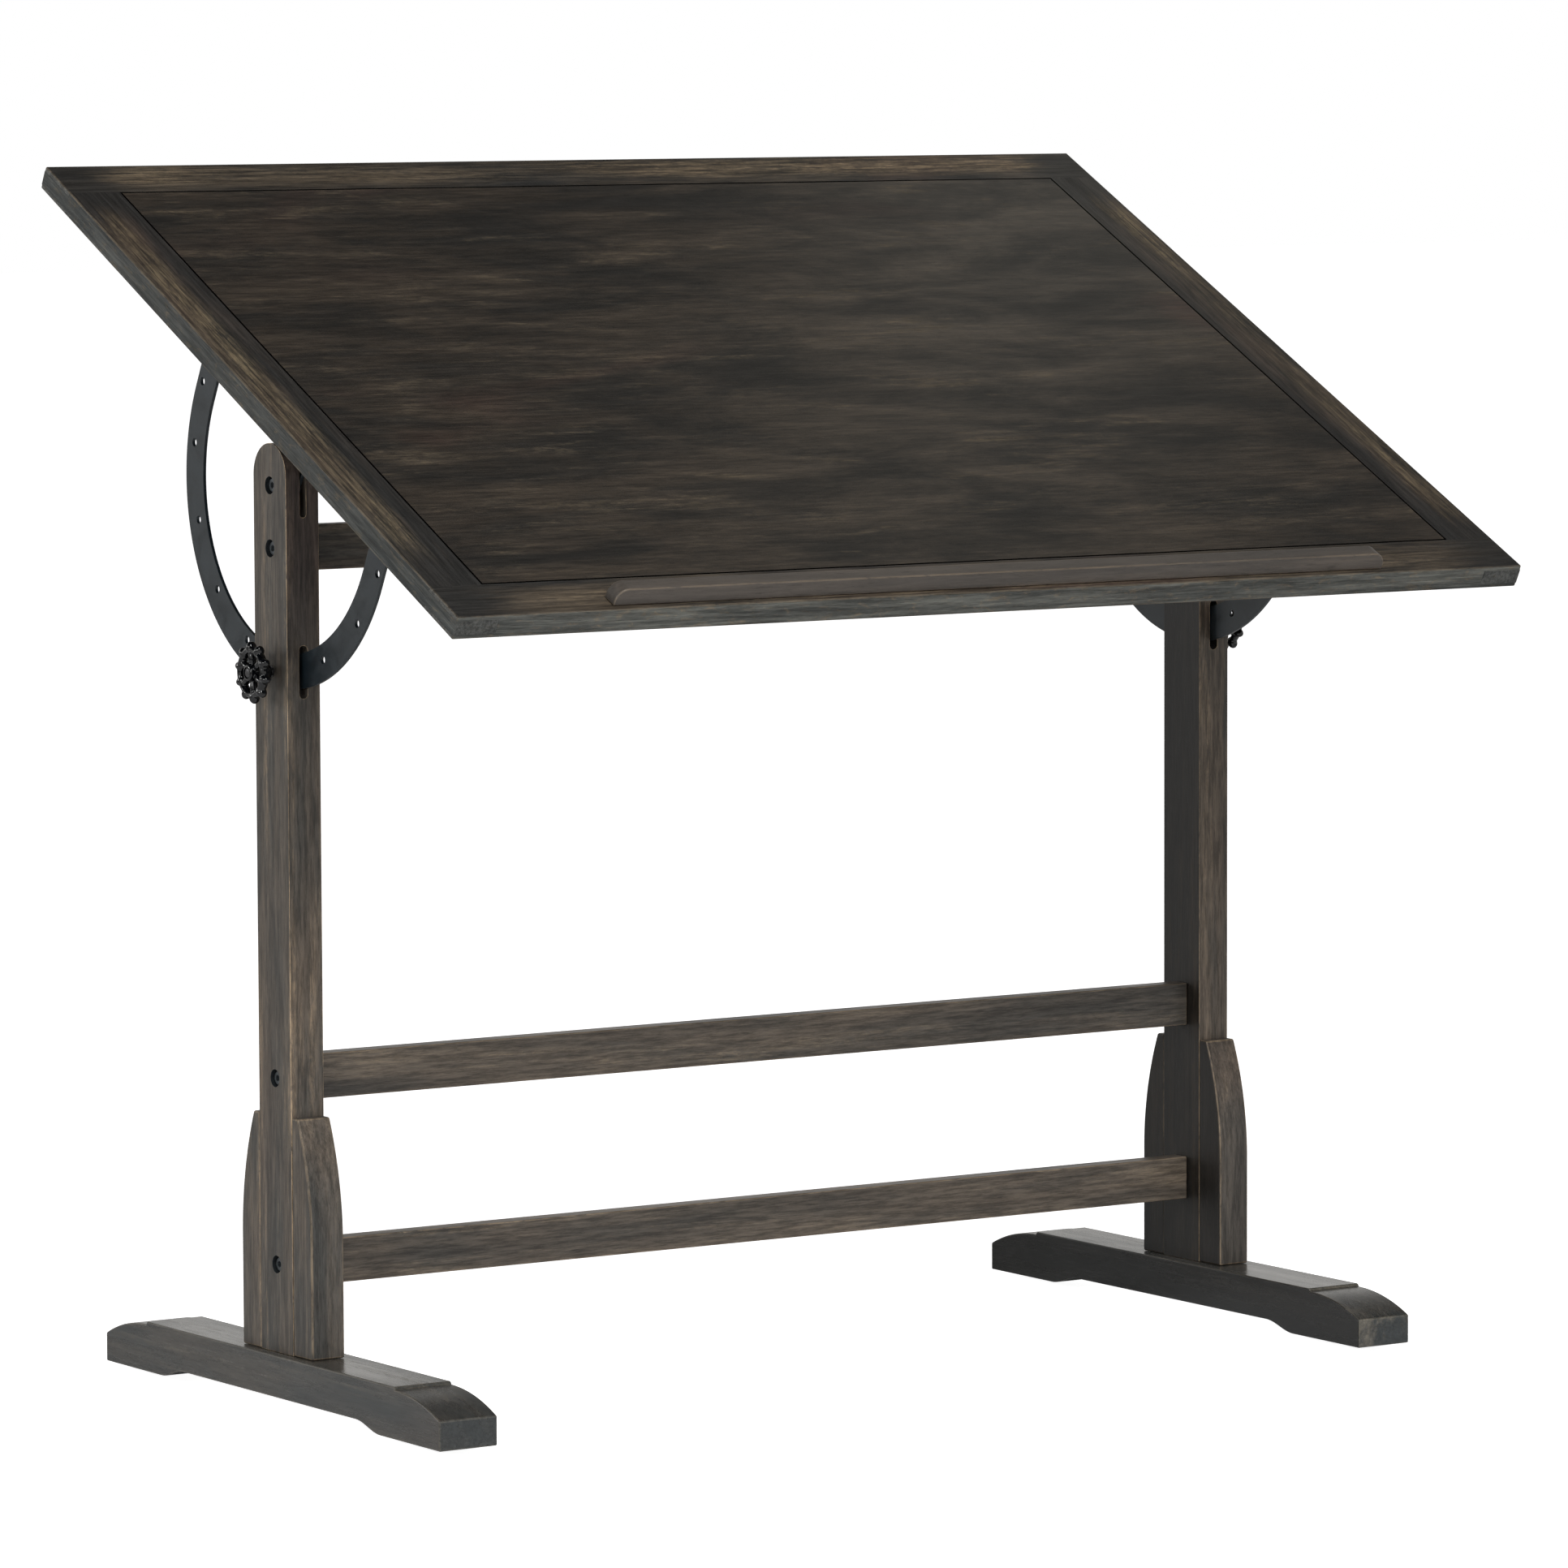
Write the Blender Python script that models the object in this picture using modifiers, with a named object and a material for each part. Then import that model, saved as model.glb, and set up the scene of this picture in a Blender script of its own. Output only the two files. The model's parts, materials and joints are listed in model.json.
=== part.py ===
"""A drafting table: a tilting framed board on a two-post trestle stand, locked by quadrant straps.

Metres, +Z up, +X to the right, the front faces -Y. The origin is the bottom centre of the bounding box.
The stand is modelled about the plane of its posts, which lies at Y = POST_Y. The board is modelled
about its pivot, with U from front to back and N along the board's normal.
"""

import math

import bmesh
import bpy
from mathutils import Matrix, Vector

GAP = 0.0003

# Board
BOARD_W = 1.0668
BOARD_D = 0.762
BOARD_T = 0.0206
TILT = math.radians(27.13)
BOARD_UNDER = 0.0786
BOARD_U0 = -0.3822
RAIL_W = 0.048
RAIL_EDGE = 0.0007
TENON_W = 0.039
TENON_T = 0.013
TENON_DROP = 0.004
TONGUE = 0.006
TONGUE_T = 0.008
TONGUE_DROP = 0.006

# Pencil ledge
LEDGE_L = 0.7714
LEDGE_D = 0.015
LEDGE_H = 0.0155
LEDGE_SETBACK = 0.005
LEDGE_ROUND = 0.012
LEDGE_SCREW_X = 0.25
LEDGE_EDGE = 0.0010

# Posts
POST_IN = 0.4524
POST_OUT = 0.4836
POST_HALF = 0.02685
POST_TOP = 0.8126
POST_FOOT = 0.0498
PIVOT_Z = 0.7775
UPPER_SLOT = (0.4642, 0.4702)
UPPER_SLOT_END = 0.7511
LOWER_SLOT = (0.4640, 0.4720)
LOWER_SLOT_Z = (0.6005, 0.6448)
TENON_X = (0.4600, 0.4760)
TENON_HALF = 0.018
TENON_END = 0.0240

# Stretchers
STRETCHER_Z = (0.7250, 0.2812, 0.1240)
STRETCHER_H = 0.038
STRETCHER_T = 0.018

# Cheeks, the bowed blocks at the foot of each post
CHEEK_TOP = 0.2503
CHEEK_STRAIGHT = 0.145
CHEEK_TOP_DEPTH = 0.0099
CHEEK_DEPTH = 0.0313

# Feet
FOOT_IN = 0.4390
FOOT_OUT = 0.4939
FOOT_HALF = 0.2813
FOOT_UNDER = 0.006
FOOT_TOP = 0.0495
PAD_HALF = 0.2086
PAD_STEP = 0.0025
END_TOP = 0.0308
RELIEF = 0.008
RELIEF_HALF = 0.145
RELIEF_END = 0.185
FOOT_SCREW_Y = 0.0426
LEVELLER_Y = 0.2200
LEVELLER_R = 0.0042

# Quadrant straps
PLATE = (0.4647, 0.4675)
STRAP_IN = 0.1410
STRAP_OUT = 0.1705
BAND_N = (0.0520, 0.0782)
TAB_HALF = 0.0180
TAB_ROOT = 0.0480
PIVOT_HOLE_R = 0.00406
STOP_R = 0.0035
STOP_CIRCLE = 0.1623
STOP_CENTRE_N = 0.0122
STOP_ANGLES = (-88.6, -69.3, -46.0, -22.8, 0.0, 22.8, 46.0, 69.3, 88.6)
BAR_HALF = 0.1560
BAR_T = 0.0200
BAR_SCREW_U = 0.110
BAR_SCREW_N = 0.067

# Bolts, nuts and the clamps
BOLT_R = 0.003
BOLT_HEAD_R = 0.0058
BOLT_HEAD_H = 0.006
BOLT_SINK = 0.0085
COUNTERBORE_R = 0.00725
BOLT_REACH = 0.038
BARREL_X = 0.4224
PIVOT_R = 0.004
NUT_R = 0.0075
NUT_H = 0.0065
CLAMP_Z = 0.6222
WHEEL_X = (0.4965, 0.5055)
WHEEL_R = 0.0240
LOBE = 0.0016
LOBES = 10
WINDOWS = 6
WHEEL_TURN = math.radians(12)
WINDOW_TURN = math.radians(5)
WINDOW_CIRCLE = 0.0125
WINDOW_R = 0.0037
RIM_IN = 0.0175
WEB_X = (0.4975, 0.5010)
HUB_R = 0.0072
HUB_X = (0.4862, 0.5070)
CLAMP_PAD = (0.4678, 0.4698)

# The post plane's place, from the front top edge of the ledge and the lower back edge of the board
FRONT_N = BOARD_UNDER + BOARD_T + LEDGE_H - LEDGE_EDGE
FRONT_Y = (BOARD_U0 + LEDGE_SETBACK) * math.cos(TILT) - FRONT_N * math.sin(TILT)
BACK_Y = (BOARD_U0 + BOARD_D) * math.cos(TILT) - (BOARD_UNDER + RAIL_EDGE) * math.sin(TILT)
POST_Y = -(FRONT_Y + BACK_Y) / 2

ROUND_STEPS = 12
HIDDEN_STEPS = 8
SIDES = {"left": -1, "right": 1}
ENDS = {"front": -1, "back": 1}
LEVELS = dict(zip(("upper", "middle", "lower"), STRETCHER_Z))
TURN = {
    "X": Matrix.Rotation(math.pi / 2, 4, "Y"),
    "Y": Matrix.Rotation(-math.pi / 2, 4, "X"),
    "Z": Matrix.Identity(4),
}


def clear_scene():
    for obj in list(bpy.data.objects):
        bpy.data.objects.remove(obj, do_unlink=True)
    for collection in list(bpy.data.collections):
        bpy.data.collections.remove(collection)


def new_collection(name):
    collection = bpy.data.collections.new(name)
    bpy.context.scene.collection.children.link(collection)
    return collection


clear_scene()
PARTS = new_collection("drafting_table")
CUTTERS = new_collection("cutters")


def new_material(name, color, metallic, roughness):
    material = bpy.data.materials.new(name)
    material.use_nodes = True
    shader = material.node_tree.nodes["Principled BSDF"]
    shader.inputs["Base Color"].default_value = (*color, 1)
    shader.inputs["Metallic"].default_value = metallic
    shader.inputs["Roughness"].default_value = roughness
    return material


STAND_WOOD = new_material("stand_wood", (0.055, 0.046, 0.040), 0, 0.5)
FRAME_WOOD = new_material("frame_wood", (0.045, 0.040, 0.037), 0, 0.45)
PANEL_WOOD = new_material("panel_wood", (0.038, 0.030, 0.025), 0, 0.45)
STRAP_STEEL = new_material("strap_steel", (0.05, 0.06, 0.065), 0.6, 0.4)
KNOB_IRON = new_material("knob_iron", (0.008, 0.009, 0.010), 0.2, 0.15)
BOLT_STEEL = new_material("bolt_steel", (0.02, 0.022, 0.024), 0.9, 0.35)
ZINC_STEEL = new_material("zinc_steel", (0.55, 0.55, 0.54), 0.9, 0.35)
NYLON = new_material("nylon", (0.01, 0.01, 0.01), 0, 0.5)


def frame_empty(name, place, turn=0.0):
    """An empty that carries the pieces of one frame: they are modelled in its coordinates."""
    empty = bpy.data.objects.new(name, None)
    empty.empty_display_size = 0.05
    empty.location = place
    empty.rotation_euler = (turn, 0, 0)
    PARTS.objects.link(empty)
    return empty


STAND = frame_empty("stand_frame", (0, POST_Y, 0))
BOARD = frame_empty("board_frame", (0, POST_Y, PIVOT_Z), TILT)
CLAMPS = {
    side: frame_empty(f"clamp_frame_{side}", (0, POST_Y, CLAMP_Z))
    for side in SIDES
}


# Shapes, each a closed bmesh


def box(x, y, z):
    shape = bmesh.new()
    bmesh.ops.create_cube(shape, size=1)
    size = [abs(span[1] - span[0]) for span in (x, y, z)]
    middle = [sum(span) / 2 for span in (x, y, z)]
    bmesh.ops.scale(shape, vec=size, verts=shape.verts)
    bmesh.ops.translate(shape, vec=middle, verts=shape.verts)
    return shape


def turned(axis, centre, profile, steps=ROUND_STEPS):
    """A round solid from (place along the axis, radius) pairs. The centre is its other two coordinates."""
    shape = bmesh.new()
    points = [(profile[0][0], 0), *profile, (profile[-1][0], 0)]
    verts = [shape.verts.new((radius, 0, along)) for along, radius in points]
    edges = [shape.edges.new(pair) for pair in zip(verts, verts[1:])]
    bmesh.ops.spin(
        shape,
        geom=verts + edges,
        axis=(0, 0, 1),
        cent=(0, 0, 0),
        angle=math.tau,
        steps=steps,
        use_merge=True,
    )
    bmesh.ops.remove_doubles(shape, verts=shape.verts, dist=1e-6)
    bmesh.ops.recalc_face_normals(shape, faces=shape.faces)
    shape.transform(TURN[axis])
    offset = {"X": (0, *centre), "Y": (centre[0], 0, centre[1]), "Z": (*centre, 0)}[axis]
    bmesh.ops.translate(shape, vec=offset, verts=shape.verts)
    return shape


def combined(*shapes):
    """Several shapes that don't touch, as one bmesh."""
    whole = bmesh.new()
    for shape in shapes:
        mesh = bpy.data.meshes.new("shape")
        shape.to_mesh(mesh)
        shape.free()
        whole.from_mesh(mesh)
        bpy.data.meshes.remove(mesh)
    return whole


def sheet(outlines, thickness, place):
    """A flat plate with these closed outlines, moved by the matrix. Inner outlines are its openings."""
    curve = bpy.data.curves.new("outline", "CURVE")
    curve.dimensions = "2D"
    curve.fill_mode = "BOTH"
    curve.extrude = thickness / 2
    for outline in outlines:
        spline = curve.splines.new("POLY")
        spline.points.add(len(outline) - 1)
        for point, (a, b) in zip(spline.points, outline):
            point.co = (a, b, 0, 1)
        spline.use_cyclic_u = True
    guide = bpy.data.objects.new("outline", curve)
    CUTTERS.objects.link(guide)
    graph = bpy.context.evaluated_depsgraph_get()
    mesh = bpy.data.meshes.new_from_object(guide.evaluated_get(graph))
    shape = bmesh.new()
    shape.from_mesh(mesh)
    bmesh.ops.remove_doubles(shape, verts=shape.verts, dist=1e-6)
    bmesh.ops.recalc_face_normals(shape, faces=shape.faces)
    shape.transform(place)
    bpy.data.objects.remove(guide)
    bpy.data.curves.remove(curve)
    bpy.data.meshes.remove(mesh)
    return shape


def across_x(x):
    """The matrix that stands an outline in the YZ plane at this x."""
    turn = Matrix(((0, 0, 1, 0), (1, 0, 0, 0), (0, 1, 0, 0), (0, 0, 0, 1)))
    return Matrix.Translation((x, 0, 0)) @ turn


def arc(centre, radius, start, end, steps, squash=1.0):
    """Points along an arc. Angles are in degrees, and squash scales its height."""
    angles = [math.radians(start + (end - start) * i / steps) for i in range(steps + 1)]
    return [
        (centre[0] + radius * math.cos(a), centre[1] + radius * squash * math.sin(a))
        for a in angles
    ]


def circle(centre, radius, steps):
    return arc(centre, radius, 0, 360 * (steps - 1) / steps, steps - 1)


def middle_of(shape):
    low, high = ([pick(v.co[i] for v in shape.verts) for i in range(3)] for pick in (min, max))
    return (Vector(low) + Vector(high)) / 2


# Objects


def node(name, shape, parent, material, round_off=0.0, smooth=False):
    """One sub-part, its origin at the middle of its shape."""
    middle = middle_of(shape)
    bmesh.ops.translate(shape, vec=-middle, verts=shape.verts)
    mesh = bpy.data.meshes.new(name)
    shape.to_mesh(mesh)
    shape.free()
    mesh.materials.append(material)
    if smooth:
        mesh.polygons.foreach_set("use_smooth", [True] * len(mesh.polygons))
        mesh.set_sharp_from_angle(angle=math.radians(35))
    obj = bpy.data.objects.new(name, mesh)
    obj.location = middle
    obj.parent = parent
    PARTS.objects.link(obj)
    if round_off:
        bevel = obj.modifiers.new("round_off", "BEVEL")
        bevel.width = round_off
        bevel.segments = 1
        bevel.limit_method = "ANGLE"
        bevel.angle_limit = math.radians(40)
    return obj


def boolean(obj, word, shape, operation="DIFFERENCE"):
    mesh = bpy.data.meshes.new(f"{obj.name}_{word}")
    shape.to_mesh(mesh)
    shape.free()
    tool = bpy.data.objects.new(mesh.name, mesh)
    tool.parent = obj.parent
    tool.hide_render = True
    tool.display_type = "WIRE"
    CUTTERS.objects.link(tool)
    modifier = obj.modifiers.new(word, "BOOLEAN")
    modifier.operation = operation
    modifier.solver = "EXACT"
    modifier.object = tool


def at(side, *places):
    """Distances from the middle turned into X coordinates on this side."""
    return tuple(SIDES[side] * place for place in places)


def bore(axis, centre, start, end, radius, steps=ROUND_STEPS):
    return turned(axis, centre, [(start, radius), (end, radius)], steps)


# The stand


def make_post(side):
    top = (0, POST_TOP - POST_HALF)
    outline = [(-POST_HALF, POST_FOOT), (POST_HALF, POST_FOOT), *arc(top, POST_HALF, 0, 180, 12)]
    middle, thick = at(side, (POST_IN + POST_OUT) / 2)[0], POST_OUT - POST_IN
    post = node(f"post_{side}", sheet([outline], thick, across_x(middle)), STAND, STAND_WOOD, 0.0012)
    tenon = box(at(side, *TENON_X), (-TENON_HALF, TENON_HALF), (TENON_END, POST_FOOT + 0.010))
    boolean(post, "tenon", tenon, "UNION")
    front_to_back = (-0.04, 0.04)
    lower_end = UPPER_SLOT_END + (UPPER_SLOT[1] - UPPER_SLOT[0]) / 2
    slots = combined(
        box(at(side, *UPPER_SLOT), front_to_back, (lower_end, POST_TOP + 0.01)),
        slot_shape(side, LOWER_SLOT, LOWER_SLOT_Z),
    )
    boolean(post, "slots", slots)
    slot_x = at(side, sum(UPPER_SLOT) / 2)[0]
    slot_r = (UPPER_SLOT[1] - UPPER_SLOT[0]) / 2
    boolean(post, "slot_end", bore("Y", (slot_x, lower_end), *front_to_back, slot_r, 16))
    bores = [counterbored(side, z, BOLT_R + GAP) for z in STRETCHER_Z]
    bores.append(counterbored(side, PIVOT_Z, PIVOT_R + GAP))
    clamp = at(side, LOWER_SLOT[1] - 0.001, POST_OUT + 0.001)
    bores.append(bore("X", (0, CLAMP_Z), *clamp, 0.0053))
    boolean(post, "bores", combined(*bores))


def slot_shape(side, across, height):
    """A slot with round ends that runs from front to back."""
    radius = (across[1] - across[0]) / 2
    middle = at(side, sum(across) / 2)[0]
    outline = arc((middle, height[1] - radius), radius, 0, 180, 8)
    outline += arc((middle, height[0] + radius), radius, 180, 360, 8)
    return sheet([outline], 0.08, Matrix.Rotation(math.pi / 2, 4, "X"))


def counterbored(side, z, radius):
    """A hole through a post, sunk on the outer face for a bolt's head."""
    sink = POST_OUT - BOLT_SINK - GAP
    places = [POST_IN - 0.001, sink, sink, POST_OUT + 0.001]
    radii = [radius, radius, COUNTERBORE_R, COUNTERBORE_R]
    return turned("X", (0, z), list(zip(at(side, *places), radii)))


def make_cheek(side, end):
    rise = CHEEK_TOP - CHEEK_STRAIGHT
    fall = CHEEK_DEPTH - CHEEK_TOP_DEPTH
    radius = (fall**2 + rise**2) / (2 * fall)
    sweep = math.degrees(math.asin(rise / radius))
    bow = arc((CHEEK_DEPTH - radius, CHEEK_STRAIGHT), radius, 0, sweep, 8)
    outline = [(GAP, POST_FOOT), (CHEEK_DEPTH, POST_FOOT), *bow, (GAP, CHEEK_TOP)]
    outline = [(ENDS[end] * (POST_HALF + depth), z) for depth, z in outline]
    middle, thick = at(side, (POST_IN + POST_OUT) / 2)[0], POST_OUT - POST_IN
    shape = sheet([outline], thick, across_x(middle))
    cheek = node(f"cheek_{side}_{end}", shape, STAND, STAND_WOOD, 0.0016)
    centre = (middle, ENDS[end] * FOOT_SCREW_Y)
    hole = bore("Z", centre, POST_FOOT - 0.002, 0.1005, BOLT_R + 2 * GAP, HIDDEN_STEPS)
    boolean(cheek, "screw_hole", hole)


def foot_outline():
    drop, run = FOOT_TOP - PAD_STEP - END_TOP, FOOT_HALF - PAD_HALF - 0.0015
    radius = (run**2 + drop**2) / (2 * drop)
    sweep = math.degrees(math.asin(run / radius))
    half = [(RELIEF_HALF, FOOT_UNDER + RELIEF)]
    for i in range(1, 7):
        share = i / 6
        fall = RELIEF * (1 - math.cos(math.pi * share)) / 2
        half.append((RELIEF_HALF + (RELIEF_END - RELIEF_HALF) * share, FOOT_UNDER + RELIEF - fall))
    half.append((FOOT_HALF, FOOT_UNDER))
    half += arc((PAD_HALF + 0.0015, FOOT_TOP - PAD_STEP - radius), radius, 90 - sweep, 90, 7)
    half += [(PAD_HALF, FOOT_TOP)]
    return half + [(-y, z) for y, z in reversed(half)]


def make_foot(side):
    middle, thick = at(side, (FOOT_IN + FOOT_OUT) / 2)[0], FOOT_OUT - FOOT_IN
    shape = sheet([foot_outline()], thick, across_x(middle))
    foot = node(f"foot_{side}", shape, STAND, STAND_WOOD, 0.0012)
    mortise_x = at(side, TENON_X[0] - GAP, TENON_X[1] + GAP)
    mortise_y = (-TENON_HALF - GAP, TENON_HALF + GAP)
    holes = [box(mortise_x, mortise_y, (TENON_END - GAP, FOOT_TOP + 0.001))]
    floor = FOOT_UNDER + RELIEF
    post_x = at(side, (POST_IN + POST_OUT) / 2)[0]
    for sign in ENDS.values():
        profile = [(floor - 0.001, 0.0064), (floor + 0.005, 0.0064)]
        profile += [(floor + 0.005, BOLT_R + 2 * GAP), (FOOT_TOP + 0.001, BOLT_R + 2 * GAP)]
        holes.append(turned("Z", (post_x, sign * FOOT_SCREW_Y), profile, HIDDEN_STEPS))
        holes.append(bore("Z", (middle, sign * LEVELLER_Y), 0.005, 0.0245, 0.0031, HIDDEN_STEPS))
    boolean(foot, "holes", combined(*holes))


def make_foot_screw(side, end):
    centre = (at(side, (POST_IN + POST_OUT) / 2)[0], ENDS[end] * FOOT_SCREW_Y)
    head = FOOT_UNDER + RELIEF + 0.0006
    profile = [(head, BOLT_HEAD_R), (head + 0.0040, BOLT_HEAD_R)]
    profile += [(head + 0.0040, BOLT_R), (0.0980, BOLT_R), (0.1000, BOLT_R - 0.0018)]
    shape = turned("Z", centre, profile, HIDDEN_STEPS)
    node(f"foot_screw_{side}_{end}", shape, STAND, ZINC_STEEL, smooth=True)


def make_leveller(side, end):
    centre = (at(side, (FOOT_IN + FOOT_OUT) / 2)[0], ENDS[end] * LEVELLER_Y)
    profile = [(0, LEVELLER_R - 0.0012), (0.0005, LEVELLER_R - 0.0005), (0.0014, LEVELLER_R)]
    profile += [(FOOT_UNDER - GAP, LEVELLER_R), (FOOT_UNDER - GAP, 0.0025), (0.0240, 0.0025)]
    empty = frame_empty(f"leveller_frame_{side}_{end}", (centre[0], POST_Y + centre[1], 0))
    node(f"leveller_{side}_{end}", turned("Z", (0, 0), profile), empty, NYLON, smooth=True)


def make_stretcher(level):
    z = LEVELS[level]
    reach = POST_IN - GAP
    height = (z - STRETCHER_H / 2, z + STRETCHER_H / 2)
    shape = box((-reach, reach), (-STRETCHER_T / 2, STRETCHER_T / 2), height)
    stretcher = node(f"stretcher_{level}", shape, STAND, STAND_WOOD, 0.0012)
    bolt_holes = []
    nut_holes = []
    for side in SIDES:
        span = at(side, POST_IN + 0.001, POST_IN - BOLT_REACH - 0.002)
        bolt_holes.append(bore("X", (0, z), *span, BOLT_R + 2 * GAP, HIDDEN_STEPS))
        nut_x = at(side, BARREL_X)[0]
        nut_holes.append(bore("Y", (nut_x, z), -0.0065, STRETCHER_T, 0.0056, HIDDEN_STEPS))
    boolean(stretcher, "bolt_holes", combined(*bolt_holes))
    boolean(stretcher, "nut_holes", combined(*nut_holes))


def make_stretcher_bolt(side, level):
    make_bolt(f"bolt_{side}_{level}", side, LEVELS[level], BOLT_R, POST_IN - BOLT_REACH)


def make_bolt(name, side, z, radius, tip):
    under = POST_OUT - BOLT_SINK
    places = [tip, tip + 0.0008, under, under, under + BOLT_HEAD_H - 0.0005, under + BOLT_HEAD_H]
    radii = [radius - 0.0008, radius, radius, BOLT_HEAD_R, BOLT_HEAD_R, BOLT_HEAD_R - 0.0005]
    shape = turned("X", (0, z), list(zip(at(side, *places), radii)))
    bolt = node(name, shape, STAND, BOLT_STEEL, smooth=True)
    socket = at(side, under + BOLT_HEAD_H - 0.0030, under + BOLT_HEAD_H + 0.001)
    boolean(bolt, "socket", bore("X", (0, z), *socket, 0.0029, 6))


def make_barrel_nut(side, level):
    z = LEVELS[level]
    x = at(side, BARREL_X)[0]
    profile = [(-0.0060, 0.0050), (0.0084, 0.0050)]
    shape = turned("Y", (x, z), profile, HIDDEN_STEPS)
    nut = node(f"barrel_nut_{side}_{level}", shape, STAND, ZINC_STEEL, smooth=True)
    boolean(nut, "thread", bore("X", (0, z), x - 0.007, x + 0.007, BOLT_R + 2 * GAP, HIDDEN_STEPS))


def make_pivot_nut(side):
    outer = POST_IN - GAP
    profile = [(outer, NUT_R), (outer - NUT_H + 0.001, NUT_R), (outer - NUT_H, NUT_R - 0.001)]
    profile = [(at(side, place)[0], radius) for place, radius in profile]
    nut = node(f"pivot_nut_{side}", turned("X", (0, PIVOT_Z), profile, 6), STAND, BOLT_STEEL)
    hole = at(side, outer + 0.001, outer - NUT_H - 0.001)
    boolean(nut, "thread", bore("X", (0, PIVOT_Z), *hole, PIVOT_R + GAP))


# The clamps, modelled about the axis of their screw


def make_clamp_insert(side):
    ends = at(side, LOWER_SLOT[1] + 0.0004, POST_OUT - 0.0004)
    shape = bore("X", (0, CLAMP_Z), *ends, 0.0050)
    insert = node(f"clamp_insert_{side}", shape, STAND, ZINC_STEEL, smooth=True)
    hole = at(side, LOWER_SLOT[1] - 0.001, POST_OUT + 0.001)
    boolean(insert, "thread", bore("X", (0, CLAMP_Z), *hole, BOLT_R + 0.00012, 16))


def make_clamp_pad(side):
    face, back = CLAMP_PAD
    profile = [(face, 0.0058), (face + 0.0004, 0.0062), (back, 0.0062)]
    profile = [(at(side, place)[0], radius) for place, radius in profile]
    pad = node(f"clamp_pad_{side}", turned("X", (0, 0), profile), CLAMPS[side], NYLON, smooth=True)
    boolean(pad, "seat", bore("X", (0, 0), *at(side, face + 0.0007, back + 0.001), 0.0018, 16))


def make_clamp_screw(side):
    back = CLAMP_PAD[1]
    head = HUB_X[1] - 0.0021
    places = [back - 0.0010, back + GAP, back + GAP, head, head, head + 0.0014, head + 0.0020]
    radii = [0.0015, 0.0015, BOLT_R, BOLT_R, 0.0044, 0.0044, 0.0032]
    shape = turned("X", (0, 0), list(zip(at(side, *places), radii)), 16)
    node(f"clamp_screw_{side}", shape, CLAMPS[side], ZINC_STEEL, smooth=True)


def lobed(shape, turn):
    """Swells the wheel's rim into lobes, and turns it by this angle."""
    for vert in shape.verts:
        radius = math.hypot(vert.co.y, vert.co.z)
        if radius > RIM_IN:
            angle = math.atan2(vert.co.z, vert.co.y)
            swell = 0.5 + 0.5 * math.cos(LOBES * angle)
            share = (radius - RIM_IN) / (WHEEL_R - RIM_IN)
            stretch = 1 + share * (swell * 2 * LOBE - LOBE) / radius
            vert.co.y *= stretch
            vert.co.z *= stretch
    shape.transform(Matrix.Rotation(turn, 4, "X"))
    return shape


def make_knob(side):
    front, back = WHEEL_X[1], WHEEL_X[0]
    profile = [(HUB_X[1], HUB_R - 0.0014), (WEB_X[1], HUB_R), (WEB_X[1], RIM_IN - GAP)]
    profile += [(front, RIM_IN + 0.0015), (front - 0.0015, WHEEL_R)]
    profile += [(back + 0.0015, WHEEL_R), (back, RIM_IN + 0.0015), (WEB_X[0], RIM_IN - GAP)]
    profile += [(WEB_X[0], HUB_R), (HUB_X[0], HUB_R - 0.0008)]
    profile = [(at(side, place)[0], radius) for place, radius in profile]
    wheel = lobed(turned("X", (0, 0), profile, LOBES * 4), -SIDES[side] * WHEEL_TURN)
    knob = node(f"knob_{side}", wheel, CLAMPS[side], KNOB_IRON, smooth=True)
    windows = [window(side, i) for i in range(WINDOWS)]
    boolean(knob, "windows", combined(*windows))
    sink = HUB_X[1] - 0.0024
    places = [HUB_X[0] - 0.001, sink, sink, HUB_X[1] + 0.001]
    radii = [BOLT_R + GAP, BOLT_R + GAP, 0.0048, 0.0048]
    boolean(knob, "screw_hole", turned("X", (0, 0), list(zip(at(side, *places), radii))))


def window(side, index):
    """An oval opening through the wheel's web."""
    angle = SIDES[side] * WINDOW_TURN + math.tau * index / WINDOWS
    turn = Matrix.Rotation(angle, 4, "X")
    outline = [(y + WINDOW_CIRCLE, z) for y, z in circle((0, 0), WINDOW_R, 8)]
    return sheet([outline], 0.010, turn @ across_x(at(side, sum(WEB_X) / 2)[0]))


# The board and what is fixed under it, modelled about the pivot


def make_quadrant(side):
    low, high = BAND_N
    outside = arc((0, 0), STRAP_OUT, 180, 360, 32) + [(STRAP_OUT, high), (-STRAP_OUT, high)]
    flare = TAB_ROOT - TAB_HALF
    inside = arc((0, 0), STRAP_IN, 180, 360, 30) + [(STRAP_IN, low)]
    rise = low - 0.012
    inside += arc((TAB_ROOT, 0.012), flare, 90, 180, 6, rise / flare)
    inside += arc((0, 0), TAB_HALF, 0, -180, 12)
    inside += arc((-TAB_ROOT, 0.012), flare, 0, 90, 6, rise / flare)
    inside += [(-STRAP_IN, low)]
    holes = [circle((0, 0), PIVOT_HOLE_R, 24)]
    for angle in STOP_ANGLES:
        u = STOP_CIRCLE * math.sin(math.radians(angle))
        n = STOP_CENTRE_N - STOP_CIRCLE * math.cos(math.radians(angle))
        holes.append(circle((u, n), STOP_R, 10))
    for sign in ENDS.values():
        holes.append(circle((sign * BAR_SCREW_U, BAR_SCREW_N), 0.0025, 8))
    middle = at(side, sum(PLATE) / 2)[0]
    shape = sheet([outside, inside, *holes], PLATE[1] - PLATE[0], across_x(middle))
    node(f"quadrant_{side}", shape, BOARD, STRAP_STEEL)


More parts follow.
